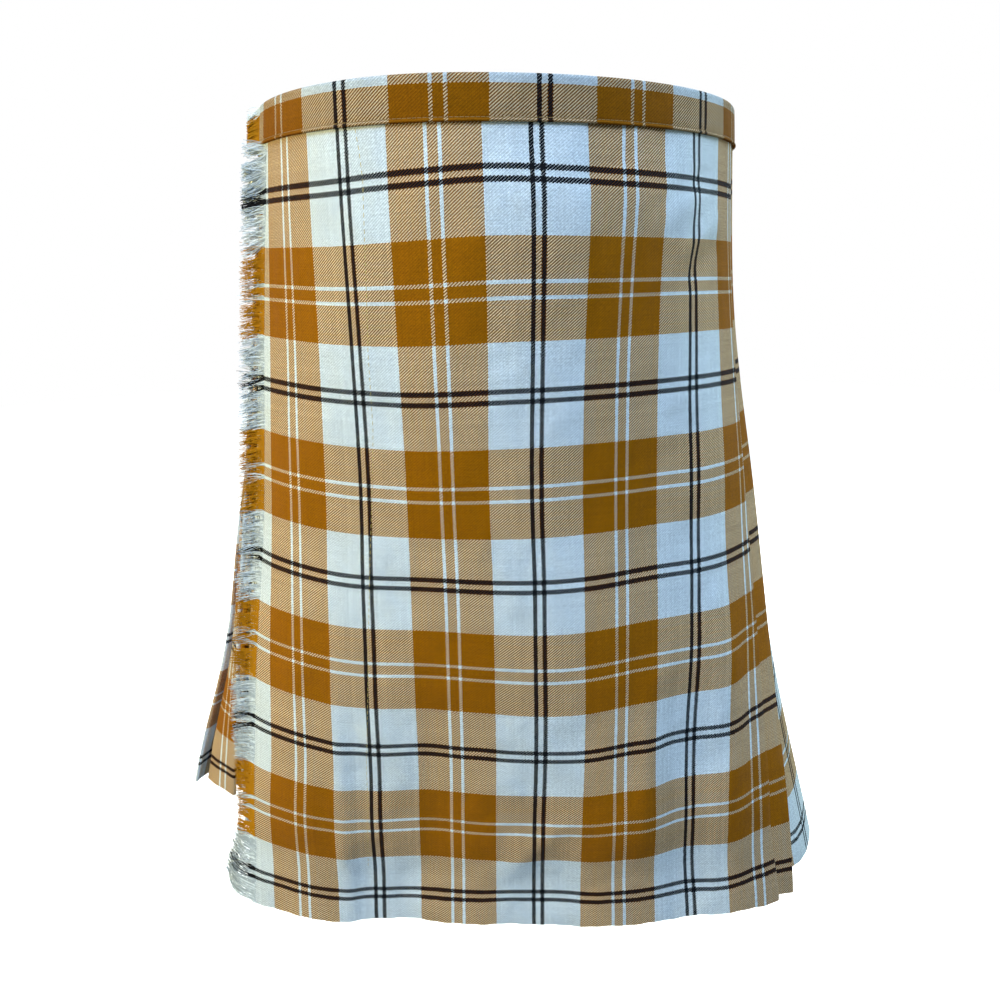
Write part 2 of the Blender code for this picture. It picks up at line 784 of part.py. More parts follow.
def build_buckle(strap, metal):
    """The buckle's frame, a rounded rectangle of wire, and its prong."""
    half = BUCKLE_TALL / 2
    corners = [(0, -half), (BUCKLE_SPAN, -half), (BUCKLE_SPAN, half), (0, half)]
    points = []
    for i, (run, down) in enumerate(corners):
        inner_run = min(max(run, BUCKLE_CORNER), BUCKLE_SPAN - BUCKLE_CORNER)
        inner_down = min(max(down, BUCKLE_CORNER - half), half - BUCKLE_CORNER)
        for step in range(4):
            turn = math.radians(180 + 90 * i + 30 * step)
            at_run = inner_run + BUCKLE_CORNER * math.cos(turn)
            at_down = inner_down + BUCKLE_CORNER * math.sin(turn)
            points.append(strap.point(at_run, at_down, BAR_HEIGHT))
    rod(f"{strap.side}_buckle_frame", points, [WIRE] * len(points), 8, metal, closed=True)
    on_bar = BAR_HEIGHT + WIRE + SEAM_GAP + PRONG
    back = BUCKLE_SPAN - WIRE - SEAM_GAP
    places = [
        (back, BAR_HEIGHT),
        (back - 0.004, BAR_HEIGHT + 0.0006),
        (0.001, on_bar),
        (-0.0025, on_bar),
    ]
    prong = [strap.point(run, 0.0, height) for run, height in places]
    rod(f"{strap.side}_buckle_prong", prong, [PRONG, PRONG, PRONG, PRONG * 0.7], 8, metal)


def build_keeper(strap, leather):
    """A loop sewn down on both sides of the strap, which holds its tail."""
    half = TAB_THICK / 2
    side = STRAP_WIDE / 2 + KEEPER_SIDE_GAP + half
    bend = 1.2 * MM
    top = STRAP_ON_TAB + STRAP_THICK / 2 + SEAM_GAP + half
    foot = SEAM_GAP + half
    path = [
        (-side - KEEPER_FOOT, foot),
        (-side - bend / 2, foot),
        (-side, foot + bend / 2),
        (-side, top - bend),
        (-side + bend, top),
        (side - bend, top),
        (side, top - bend),
        (side, foot + bend / 2),
        (side + bend / 2, foot),
        (side + KEEPER_FOOT, foot),
    ]
    start = BUCKLE_SPAN + KEEPER_AT
    runs = [start, start + KEEPER_LONG]
    sides = ribbon_sides(path, half)
    upper = [[strap.point(run, a.x, a.y) for run in runs] for a, _ in sides]
    lower = [[strap.point(run, b.x, b.y) for run in runs] for _, b in sides]
    sheet_solid(f"{strap.side}_strap_keeper", upper, lower, leather)


def cut_slit(pleats):
    """A slit in the third pleat, through which the left strap comes out."""
    tall = STRAP_WIDE / 2 + 0.001
    bm = bmesh.new()
    corners = {}
    for across in SLIT:
        for down in (-tall, tall):
            for out in SLIT_OUT:
                drop = STRAP_DROP + down
                corners[across, down, out] = bm.verts.new(place(across, drop, out))
    a, b = SLIT
    low, high = SLIT_OUT
    ring = [(a, -tall), (b, -tall), (b, tall), (a, tall)]
    bm.faces.new([corners[across, down, low] for across, down in ring])
    bm.faces.new([corners[across, down, high] for across, down in ring])
    for k in range(4):
        p, q = ring[k], ring[(k + 1) % 4]
        side = [(*p, low), (*q, low), (*q, high), (*p, high)]
        bm.faces.new([corners[corner] for corner in side])
    outward(bm)
    cutter = new_object("slit_cutter", bm, pleats.data.materials[0])
    cutter.hide_render = True
    cutter.display_type = "WIRE"
    modifier = pleats.modifiers.new("slit", "BOOLEAN")
    modifier.operation = "DIFFERENCE"
    modifier.solver = "EXACT"
    modifier.object = cutter


def build_fastening(strap, start, leather, metal):
    build_strap(strap, start, leather)
    build_tab(strap, leather)
    build_buckle(strap, metal)
    build_keeper(strap, leather)


def build_right_fastening(leather, metal):
    """The outer apron's strap: sewn inside its fringed edge and buckled back over the pleats."""
    strap = Strap("right", RIGHT_FRONT_BAR, -1)
    inside_apron = SINK - CLOTH - SEAM_GAP - STRAP_THICK / 2
    start = []
    for across in (*RIGHT_SEWN, APRON_FREE_EDGE_TOP - 0.002):
        start.append((RIGHT_FRONT_BAR - across, inside_apron))
    for across in spread(APRON_FREE_EDGE_TOP - 0.011, RIGHT_FRONT_BAR + 0.015, 4):
        start.append((RIGHT_FRONT_BAR - across, STRAP_LIES))
    build_fastening(strap, start, leather, metal)


def build_left_fastening(leather, metal):
    """The under apron's strap: it runs inside the pleats and comes out through the slit."""
    strap = Strap("left", LEFT_FRONT_BAR, 1)
    inside = under_out(STRAP_DROP) - PLEAT_CLOTH / 2 - SEAM_GAP - STRAP_THICK / 2
    slit_middle = (SLIT[0] + SLIT[1]) / 2
    start = []
    for across in spread(LEFT_SEWN[0], slit_middle - 0.0065, 8):
        start.append((across - LEFT_FRONT_BAR, inside))
    start.append((slit_middle - 0.0035 - LEFT_FRONT_BAR, inside + 0.0012))
    start.append((slit_middle + 0.0030 - LEFT_FRONT_BAR, STRAP_LIES - 0.0008))
    start.append((slit_middle + 0.0055 - LEFT_FRONT_BAR, STRAP_LIES))
    build_fastening(strap, start, leather, metal)


def main():
    clear_scene()
    tartan = material("tartan_cloth", (0.62, 0.44, 0.20), 0.85)
    band_cloth = material("waistband_cloth", (0.50, 0.30, 0.06), 0.85)
    yarn = material("fringe_yarn", (0.72, 0.60, 0.40), 0.9)
    leather = material("strap_leather", (0.03, 0.02, 0.015), 0.55)
    metal = material("buckle_metal", (0.72, 0.72, 0.74), 0.3, 1.0)
    build_outer_apron(tartan)
    pleats = build_pleats(tartan)
    build_under_apron(tartan)
    build_waistband(band_cloth)
    build_apron_fringe(yarn)
    build_band_fringe(yarn)
    build_right_fastening(leather, metal)
    build_left_fastening(leather, metal)
    cut_slit(pleats)


main()
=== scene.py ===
"""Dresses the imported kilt: shells of woven tartan, frayed yarn, stitching, leather and metal.

Metres, in the part's own frame: +Z up, the wearer faces -Y, and their left hand is at +X.

A place on the garment is given by three sizes, as in the part's source:
  across  length along the cloth, from the black stripe near the front's middle towards the
          wearer's left, round the back and on to the wearer's right
  drop    height below the top edge
  out     distance outwards from the outer apron's face
"""

import math

import bpy
import numpy as np
from mathutils import Matrix, Vector


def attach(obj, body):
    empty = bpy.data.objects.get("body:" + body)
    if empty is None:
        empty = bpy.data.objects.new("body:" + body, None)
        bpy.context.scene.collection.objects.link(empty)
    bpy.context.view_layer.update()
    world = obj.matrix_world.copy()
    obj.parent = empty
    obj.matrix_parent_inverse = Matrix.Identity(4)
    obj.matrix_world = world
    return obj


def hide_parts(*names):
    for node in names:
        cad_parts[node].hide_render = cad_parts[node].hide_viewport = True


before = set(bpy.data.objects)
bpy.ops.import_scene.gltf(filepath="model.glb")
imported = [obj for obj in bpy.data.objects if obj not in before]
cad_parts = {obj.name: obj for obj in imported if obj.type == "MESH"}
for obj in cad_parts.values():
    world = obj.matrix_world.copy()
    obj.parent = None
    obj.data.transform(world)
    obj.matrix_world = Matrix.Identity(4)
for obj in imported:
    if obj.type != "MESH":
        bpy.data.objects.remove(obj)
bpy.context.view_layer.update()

MM = 0.001

# For each change on the way down: the drop where it starts, and how far down it takes
SWING_OVER = (0.530, 0.080)
OPENING_OVER = (0.15, 0.45)
UNEVEN_OVER = (0.16, 0.42)
BULGE_OVER = (0.2, 0.4)
CLINGS_OVER = (0.40, 0.15)
FLARE_OVER = (0.55, 0.07)
RIPPLE_OVER = (0.020, 0.004)
HEM_WAVE_TALL = 0.04  # how far above the hem its own waves reach

# Sizes shared with the part's source
LENGTH = 0.610
BAND_TALL = 0.026
WAIST_DEPTH = 0.300
STRIPE_X = 0.016
CLOTH = 1.2 * MM
PLEAT_CLOTH = 1.0 * MM
BAND_CLOTH = 1.0 * MM
SEAM_GAP = 0.3 * MM
SECTIONS = [
    # drop, x_front, near_wide, back_wide, plus_wide, front_depth, back_depth, near_power,
    # plus_power, back_power, hollow
    (0.000, -0.034, 0.153, 0.153, 0.208, 0.185, 0.115, 2.00, 2.00, 2.0, 0.000),
    (0.150, -0.027, 0.182, 0.182, 0.210, 0.169, 0.150, 2.00, 2.00, 2.0, 0.002),
    (0.300, -0.017, 0.222, 0.231, 0.226, 0.155, 0.185, 2.00, 2.00, 2.1, 0.012),
    (0.450, -0.008, 0.256, 0.268, 0.244, 0.168, 0.192, 2.60, 2.80, 2.5, 0.016),
    (0.610, 0.002, 0.315, 0.329, 0.274, 0.196, 0.190, 2.90, 4.00, 2.3, 0.054),
]
SECTION_STEPS = 160
FAN_START = -0.012
FAN_RUN = 0.055
HOLLOW_FROM = -0.130
HOLLOW_RISE = 0.060
HOLLOW_TO = 0.000
HOLLOW_FALL = 0.045
TOP_IN_BAND = BAND_CLOTH + SEAM_GAP
APRON_FREE_EDGE_TOP = -0.213
APRON_FREE_EDGE_HEM = -0.2400
APRON_FOLD = 0.196
SEAM_SHARE = 0.45
UNDER_APRON_END = 0.140
APRON_FOLDS = [
    # across, top_drop, height_at_hem, half_width
    (-0.176, 0.300, 0.0030, 0.026),
    (-0.105, 0.330, -0.0060, 0.038),
    (0.062, 0.340, 0.0035, 0.036),
    (0.121, 0.330, -0.0035, 0.023),
]
PLEATS = 24
OVERLAP_SHARE = 0.70
PLEAT_STACK = [
    # drop, depth of the pleats
    (0.000, 0.0044), (0.150, 0.0052), (0.300, 0.0095), (0.450, 0.0160), (0.610, 0.0230),
]
FOLD_SWING = 0.008
PLEATS_DRAWN_IN = (0.026, -0.011)
DRAWN_IN_FROM = 0.250
LAST_FOLD_BEHIND_EDGE = 0.004
UNDER_START = 0.004
SINK = 0.0045
SINK_RUN = 0.090
BAND_STEP_RUN = 0.008
FOLD_TIP = 0.001
FRINGE_LENGTH = 0.0150
FRINGE_LENGTH_HEM = 0.0260
FRINGE_LONG_FROM = 0.500
FRINGE_LONG_RUN = 0.100
STRAP_WIDE = 0.025
STRAP_THICK = 1.8 * MM
STRAP_DROP = BAND_TALL + 0.009 + STRAP_WIDE / 2
STRAP_LIES = SEAM_GAP + STRAP_THICK / 2
SLOT_HALF = 1.5 * MM
TAB_WIDE = 0.022
TAB_THICK = 1.2 * MM
TAB_LONG = 0.030
TAB_CLEAR_OF_BAR = 0.009
BUCKLE_SPAN = 0.027
WIRE = 1.5 * MM
BAR_HEIGHT = SEAM_GAP + STRAP_THICK + SEAM_GAP + WIRE
STRAP_OVER_BAR = BAR_HEIGHT + WIRE + TAB_THICK + 2 * SEAM_GAP + STRAP_THICK / 2
STRAP_ON_TAB = 2 * TAB_THICK + 3 * SEAM_GAP + STRAP_THICK / 2
TAIL_LONG = 0.046
TAIL_DIP = 1.2 * MM
LYING_TO = -0.006
RISE_START = 0.002
RISE_END = BUCKLE_SPAN - 0.002
PRONG_HOLE = (0.0085, 0.0205)
KEEPER_AT = 0.024
KEEPER_LONG = 0.007
KEEPER_FOOT = 0.004
KEEPER_SIDE_GAP = 0.5 * MM
RIGHT_FRONT_BAR = -0.2720
RIGHT_SEWN = (-0.186, -0.206)
LEFT_FRONT_BAR = 0.2771
LEFT_SEWN = (0.110, 0.138)
SLIT = (0.2501, 0.2555)
SLIT_TALL = STRAP_WIDE / 2 + 0.001
SLIT_PLEAT = 2

# The tartan. Its repeat is given as shares of a sett, from the middle of the black pair.
SETT_ACROSS = 0.1226
SETT_DOWN = 0.133
FIRST_BLACK_DROP = 0.0535
WARP_PITCH = SETT_ACROSS / 214
WEFT_PITCH = SETT_DOWN / 278
HALF_SETT = [
    # share of the sett where a colour starts, up to the sett's middle
    (0.0, "white"), (0.0135, "black_edge"), (0.0182, "black"), (0.0352, "black_edge"),
    (0.0410, "white"), (0.264, "mustard"), (0.454, "white"), (0.476, "mustard"),
]
FIRST_MUSTARD = HALF_SETT[5][0]
MIRRORED = [(1 - at, dye) for (_, dye), (at, _) in zip(HALF_SETT, HALF_SETT[1:])]
STRIPES = HALF_SETT + MIRRORED[::-1]
DYES = {
    "white": (0.80, 0.835, 0.83),
    "mustard": (0.384, 0.127, 0.001),
    "black": (0.010, 0.009, 0.010),
    "black_edge": (0.022, 0.019, 0.018),
}
BLACK_BELOW, WHITE_ABOVE = 0.014, 0.3  # a black yarn's red, a white yarn's blue
LOOSE_YARNS = {
    "white": (0.74, 0.78, 0.78),
    "mustard": (0.46, 0.185, 0.006),
    "black": DYES["black"],
    "shaded": (0.42, 0.46, 0.48),
}
LOOK = {dye: k for k, dye in enumerate(LOOSE_YARNS)}
BAND_PHASE_ACROSS = -0.0048
BAND_STRETCH = 1.016
# Painted shade: the waistband's whole cloth is drawn darker by this share, standing in for the shade
# that falls on it.
BAND_PAINTED_SHADE = 0.76
BAND_PAST_EDGE = 0.010
BAND_WHITE = 0.0065

# Fine creases of the outer apron, besides the four main folds, in millimetres: soft ridges (+)
# and troughs (-) that run from one place to another and fade at both ends.
CREASES = [
    # across at top, across at bottom, top drop, bottom drop, height, half width
    (-150, -149, 380, 640, 1.6, 9),
    (-137, -134, 400, 640, -1.4, 10),
    (-60, -72, 390, 520, 1.2, 14),
    (-30, -44, 380, 500, -1, 12),
    (35, 48, 430, 640, 1.6, 16),
    (88, 78, 380, 560, 1.8, 11),
    (100, 108, 400, 560, -1.6, 10),
    (150, 158, 300, 600, 1.6, 14),
    (176, 180, 330, 640, -1.4, 9),
    (20, 34, 20, 110, 1, 12),
    (45, 52, 20, 130, -0.9, 11),
    (72, 70, 20, 100, 0.9, 10),
    (118, 108, 20, 120, 1.2, 12),
    (-40, -36, 24, 110, 0.7, 13),
    (-100, -106, 24, 120, 0.8, 12),
    (-85, -120, 120, 260, -0.7, 16),
    (20, -10, 150, 330, 0.8, 20),
    (110, 90, 170, 330, -0.9, 18),
    (-72, -78, 380, 600, -4.2, 26),
    (122, 120, 330, 610, -3.4, 20),
    (24, -38, 505, 578, 3, 14),
    (-122, -162, 495, 578, 1.3, 13),
    (140, 72, 46, 80, -1.6, 13),
    (158, 98, 72, 108, 1.4, 13),
    (160, 104, 88, 128, -1.4, 14),
    (60, 18, 40, 62, -1, 12),
    (-6, -46, 42, 66, 0.8, 12),
]

# Broad soft swellings (+) and hollows (-) of the outer apron over belly and thighs, in millimetres.
SWELLINGS = [
    # across, drop, height, half width, half height
    (100, 66, 2.6, 34, 22),
    (15, 80, 5.6, 75, 68),
    (10, 385, 5, 55, 85),
    (135, 252, 2.8, 36, 45),
    (135, 398, 2.8, 34, 38),
    (100, 515, 3, 60, 36),
    (0, 568, -3.6, 260, 28),
]
SWELLING_FADE = 45

# How far the tartan lies from an even grid on the outer apron, in millimetres, because the cloth
# was cut, pressed and pulled a little askew. Rows are drops, columns are places across.
DRIFT_AT_ACROSS = (-0.190, -0.135, -0.080, -0.025, 0.030, 0.085, 0.140, 0.195)
DRIFT_AT_DROP = (0.030, 0.085, 0.150, 0.240, 0.340, 0.440, 0.540, 0.600)
DRIFT_REACH = (0.040, 0.055)
DRIFT_ACROSS = [
    (-7.7, -2.5, 0.6, 0.8, -0.5, -2.0, -1.9, -1.7),
    (-9.3, -3.9, 0.3, -1.2, 0.1, 1.5, 1.8, -2.3),
    (-9.2, -6.7, 0.5, -1.9, 0.4, 3.0, -2.4, -10.0),
    (-5.4, -6.4, -1.9, -0.1, 0.7, 1.7, -0.3, -8.0),
    (-5.2, -2.6, -2.4, -2.4, -1.1, 1.4, -1.8, -2.0),
    (-5.1, -0.4, -1.6, -2.2, -3.5, 2.2, 2.9, 2.8),
    (1.2, 2.2, 0.3, -1.2, -1.2, -0.8, 6.6, 4.0),
    (3.2, 4.1, 2.7, -0.4, -1.3, -5.0, -2.9, -1.1),
]
DRIFT_DOWN = [
    (-7.6, -7.0, -2.9, 0.6, -1.8, -4.0, -5.0, -5.4),
    (-5.3, -5.5, -2.3, 0.9, -0.9, -2.0, -3.3, -4.8),
    (-0.8, -3.5, -4.6, -1.6, -1.1, -0.7, -1.5, -4.2),
    (1.8, 0.2, -1.1, 0.3, 1.0, 0.5, -1.0, -4.0),
    (4.2, -0.1, 3.4, 0.6, -0.3, 2.7, -1.3, -0.9),
    (5.4, -1.3, 2.0, -0.8, -3.0, 4.3, 1.1, 5.2),
    (-0.2, -2.8, -0.1, 0.2, 0.0, 4.6, 5.9, 8.9),
    (4.0, 0.5, 0.0, 3.2, 2.8, 1.0, -0.8, 5.1),
]


def smooth(share):
    share = np.clip(share, 0.0, 1.0)
    return share * share * (3 - 2 * share)


def ramp(at, start, run):
    """0 up to the start, 1 after the run, and smooth between them."""
    return smooth((at - start) / run)


def bell(distance, half_width):
    return np.exp(-((distance / half_width) ** 2))


def unit(vectors):
    return vectors / np.maximum(np.linalg.norm(vectors, axis=-1, keepdims=True), 1e-9)


def table_value(rows, at, column):
    """A smooth curve through one column of a table whose first column is the position."""
    places = [row[0] for row in rows]
    values = [row[column] for row in rows]
    at = min(max(at, places[0]), places[-1])
    slopes = []
    for i in range(len(rows)):
        low, high = max(i - 1, 0), min(i + 1, len(rows) - 1)
        slopes.append((values[high] - values[low]) / (places[high] - places[low]))
    span = next(i for i in range(len(rows) - 1) if at <= places[i + 1])
    width = places[span + 1] - places[span]
    s = (at - places[span]) / width
    return (
        values[span] * (2 * s**3 - 3 * s**2 + 1)
        + width * slopes[span] * (s**3 - 2 * s**2 + s)
        + values[span + 1] * (3 * s**2 - 2 * s**3)
        + width * slopes[span + 1] * (s**3 - s**2)
    )


class Section:
    """The garment's closed outline at one drop, measured along its length."""

    def __init__(self, drop):
        values = [table_value(SECTIONS, drop, column) for column in range(1, 11)]
        x_front, near, far, plus, front, back, near_power, plus_power, back_power, hollow = values
        y_wide = front - WAIST_DEPTH / 2
        quarters = [
            (1, -front, plus_power, False),
            (1, back, back_power, True),
            (-1, back, back_power, False),
            (-1, -front, near_power, True),
        ]
        turn = np.arange(SECTION_STEPS) / SECTION_STEPS * math.pi / 2
        xs, ys = [], []
        for side, deep, power, from_side in quarters:
            angle = math.pi / 2 - turn if from_side else turn
            size = (np.sin(angle) ** power + np.cos(angle) ** power) ** (-1 / power)
            y = y_wide + deep * size * np.cos(angle)
            wide = np.full(SECTION_STEPS, plus)
            if side < 0:
                wide = near + (far - near) * ramp(y, FAN_START, FAN_RUN)
                drawn_in = ramp(y, HOLLOW_FROM, HOLLOW_RISE)
                wide -= hollow * drawn_in * (1 - ramp(y, HOLLOW_TO, HOLLOW_FALL))
            xs.append(x_front + side * wide * size * np.sin(angle))
            ys.append(y)
        x, y = np.concatenate(xs), np.concatenate(ys)
        self.x, self.y = np.append(x, x[0]), np.append(y, y[0])
        steps = np.hypot(np.diff(self.x), np.diff(self.y))
        self.lengths = np.concatenate([[0.0], np.cumsum(steps)])
        self.round = self.lengths[-1]
        self.start = np.interp(STRIPE_X, x[:SECTION_STEPS], self.lengths[:SECTION_STEPS])
        dx = np.roll(x, -1) - np.roll(x, 1)
        dy = np.roll(y, -1) - np.roll(y, 1)
        size = np.hypot(dx, dy)
        self.nx = np.append(dy / size, dy[0] / size[0])
        self.ny = np.append(-dx / size, -dx[0] / size[0])


SECTION_CACHE = {}


def section(drop):
    key = round(drop, 6)
    if key not in SECTION_CACHE:
        SECTION_CACHE[key] = Section(drop)
    return SECTION_CACHE[key]


def fold_height(across, drop):
    """How far the main soft folds move the cloth of both aprons outwards."""
    ring = section(drop).round
    near = np.mod(across + ring / 2, ring) - ring / 2
    height = np.zeros_like(near)
    for middle, top_drop, at_hem, half_width in APRON_FOLDS:
        fade = ramp(drop, top_drop, LENGTH - top_drop)
        height += at_hem * fade * bell(near - middle, half_width)
    return height


def crease_height(across, drop):
    """How far the creases and swellings move the outer apron's cloth outwards."""
    across, drop = across / MM, drop / MM
    height = np.zeros_like(across)
    for start, end, top, bottom, high, half_width in CREASES:
        along = (drop - top) / (bottom - top)
        if 0 < along < 1:
            middle = start + (end - start) * along
            fade = math.sin(math.pi * along) ** 0.8
            height += high * fade * bell(across - middle, half_width)
    for at, low, high, half_width, half_height in SWELLINGS:
        share = ramp(drop, BAND_TALL / MM, SWELLING_FADE) * bell(drop - low, half_height)
        height += high * share * bell(across - at, half_width)
    return height * MM


def drifted(across, drop):
    """The place in an even tartan of each place on the outer apron, across and down."""
    across, drop = np.broadcast_arrays(np.asarray(across, float), np.asarray(drop, float))
    near = []
    for at, nodes, reach in zip((across, drop), (DRIFT_AT_ACROSS, DRIFT_AT_DROP), DRIFT_REACH):
        share = bell(at[..., None] - np.array(nodes), reach)
        near.append(share / share.sum(-1, keepdims=True))
    moved = [
        np.einsum("...a,...d,da->...", near[0], near[1], np.array(table)) * MM
        for table in (DRIFT_ACROSS, DRIFT_DOWN)
    ]
    return across + moved[0], drop + moved[1]


def place(across, drop, out):
    """Points in space of places at one drop."""
    across = np.asarray(across, float)
    ring = section(drop)
    along = np.mod(across + ring.start, ring.round)
    out = out + fold_height(across, drop)
    x, y, nx, ny = (np.interp(along, ring.lengths, v) for v in (ring.x, ring.y, ring.nx, ring.ny))
    return np.stack([x + nx * out, y + ny * out, np.full_like(x, BAND_TALL / 2 - drop)], axis=-1)


LEVEL_STEP = 0.0025


def place_each(across, drop, out, creased=False):
    """Points in space of places that each have their own drop."""
    shape = np.broadcast(across, drop, out).shape
    flat = (np.broadcast_to(v, shape).astype(float).ravel() for v in (across, drop, out))
    across, drop, out = flat
    level = np.floor(np.maximum(drop, 0.0) / LEVEL_STEP)
    points = np.zeros((len(drop), 3))
    for low in np.unique(level):
        chosen = level == low
        ends = []
        for at in (low * LEVEL_STEP, (low + 1) * LEVEL_STEP):
            extra = crease_height(across[chosen], at) if creased else 0.0
            ends.append(place(across[chosen], at, out[chosen] + extra))
        share = (drop[chosen] / LEVEL_STEP - low)[:, None]
        points[chosen] = ends[0] + (ends[1] - ends[0]) * share
    return points.reshape(*shape, 3)


def free_edge(drop):
    """Where the outer apron's fringed edge lies. The cloth is cut a little wider at the hem."""
    share = np.maximum(drop - BAND_TALL, 0.0) / (LENGTH - BAND_TALL)
    return APRON_FREE_EDGE_TOP + (APRON_FREE_EDGE_HEM - APRON_FREE_EDGE_TOP) * share


def last_fold(drop):
    return section(drop).round + free_edge(drop) - LAST_FOLD_BEHIND_EDGE


def reveal(drop):
    return (last_fold(drop) - APRON_FOLD) / PLEATS


def apron_fold(drop):
    """Where the outer apron's fold lies. It swings out a little just above the hem."""
    return APRON_FOLD + FOLD_SWING * ramp(drop, *SWING_OVER)


def pleat_drawn_in(k, drop):
    """How far pleat k, counted from the apron's fold, is drawn in towards it near the hem."""
    share = (drop - DRAWN_IN_FROM) / (LENGTH - DRAWN_IN_FROM)
    return PLEATS_DRAWN_IN[k] * max(share, 0.0) if k < len(PLEATS_DRAWN_IN) else 0.0


def stack(drop):
    return table_value(PLEAT_STACK, drop, 1)


def sink(across, drop):
    """The pleats nearest the fringed edge lie lower, so that the outer apron lies flat on them."""
    return SINK * smooth(1 - (last_fold(drop) - across) / SINK_RUN)


def under_out(drop):
    return -(PLEAT_CLOTH / 2 + stack(drop) / (1 + OVERLAP_SHARE) + SINK)


def on_first_return(drop, share):
    """A place on the cloth turned under at the apron's fold. Share runs from the fold inwards."""
    tuck = OVERLAP_SHARE * reveal(drop)
    under = -PLEAT_CLOTH / 2 - stack(drop)
    return APRON_FOLD - tuck * share, -CLOTH / 2 + (under + CLOTH / 2) * share


# ---- Meshes


def link(obj):
    bpy.context.scene.collection.objects.link(obj)


def new_piece(name, points, faces, uv, finish, angle=40):
    """A mesh piece that rides on the part, with the cloth's own measures as its UVs."""
    mesh = bpy.data.meshes.new(name)
    mesh.from_pydata(np.asarray(points).tolist(), [], faces)
    layer = mesh.uv_layers.new(name="cloth")
    corners = np.empty(len(mesh.loops), np.int32)
    mesh.loops.foreach_get("vertex_index", corners)
    layer.data.foreach_set("uv", np.asarray(uv, np.float32)[corners].ravel())
    for made in finish if isinstance(finish, list) else [finish]:
        mesh.materials.append(made)
    mesh.shade_smooth()
    mesh.set_sharp_from_angle(angle=math.radians(angle))
    obj = bpy.data.objects.new(name, mesh)
    link(obj)
    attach(obj, "root")
    return obj


def shell(name, outer, inner, uv, finish, slot, missing=False):
    """A closed sheet between two grids of points. Cells marked as missing are holes through it."""
    rows, columns = outer.shape[:2]
    present = np.ones((rows - 1, columns - 1), bool) & np.logical_not(missing)
    number = np.arange(rows * columns).reshape(rows, columns)
    under = number.size
    corners = [number[:-1, :-1], number[1:, :-1], number[1:, 1:], number[:-1, 1:]]
    quads = np.stack(corners, -1)[present]
    faces = [quads, quads[:, ::-1] + under]
    around = np.pad(present, 1)
    beyond = [around[1:-1, :-2], around[2:, 1:-1], around[1:-1, 2:], around[:-2, 1:-1]]
    for k in range(4):
        rim = present & ~beyond[k]
        a, b = corners[k][rim], corners[(k + 1) % 4][rim]
        faces.append(np.stack([b, a, a + under, b + under], 1))
    points = np.concatenate([outer.reshape(-1, 3), inner.reshape(-1, 3)])
    both = np.concatenate([uv.reshape(-1, 2)] * 2)
    return new_piece(name, points, np.concatenate(faces).tolist(), both, finish)


def both_faces(path, half):
    """The two faces of a wall whose middle follows a path."""
    run = unit(np.gradient(path, axis=0))
    side = np.stack([-run[:, 1], run[:, 0]], 1) * half
    return path + side, path - side


def ribbon_shell(name, drops, path_at, half, finish, missing=False, apron=False):
    """A closed wall of cloth that follows a path of (across, out, u) at each drop."""
    outer, inner, uv = [], [], []
    for drop in drops:
        across, out, u = path_at(drop)
        extra = crease_height(across, drop) if apron else 0.0
        for grid, face in zip((outer, inner), both_faces(np.stack([across, out], 1), half)):
            grid.append(place(face[:, 0], drop, face[:, 1] + extra))
            grid[-1][:, 2] -= hem_wave(across, drop)
        down = np.full_like(u, drop)
        if apron:
            flat = np.minimum(across, APRON_FOLD)
            base, down = drifted(flat, drop)
            u = u + base - flat
        uv.append(np.stack([u, down], 1))
    grids = (np.array(grid) for grid in (outer, inner, uv))
    return shell(name, *grids, finish, "tartan_cloth", missing)


NEARLY_UP = np.array([0.31, 0.17, 0.93])


def tubes(name, paths, radii, uv, sides, finish, looks=None):
    """Many thin round strands in one piece. Paths are strands by points by three."""
    strands, points = paths.shape[:2]
    along = unit(np.gradient(paths, axis=1))
    up = unit(np.cross(along, NEARLY_UP))
    side = np.cross(along, up)
    turn = np.arange(sides) / sides * 2 * math.pi
    radii = np.broadcast_to(radii, (strands, points))[:, :, None, None]
    spokes = np.cos(turn)[:, None] * up[:, :, None] + np.sin(turn)[:, None] * side[:, :, None]
    rings = paths[:, :, None] + radii * spokes
    number = np.arange(strands * points * sides).reshape(strands, points, sides)
    after = np.roll(number, -1, axis=2)
    quads = np.stack([number[:, :-1], after[:, :-1], after[:, 1:], number[:, 1:]], -1)
    faces = quads.reshape(-1, 4).tolist()
    faces += number[:, 0, ::-1].tolist() + number[:, -1].tolist()
    uv = np.repeat(np.broadcast_to(uv, (strands, points, 2)).reshape(-1, 2), sides, axis=0)
    obj = new_piece(name, rings.reshape(-1, 3), faces, uv, finish, angle=80)
    if looks is not None:
        per_strand = (points - 1) * sides
        index = np.concatenate([np.repeat(looks, per_strand), looks, looks]).astype(np.int32)
        obj.data.polygons.foreach_set("material_index", index)
    return obj


# ---- Finishes


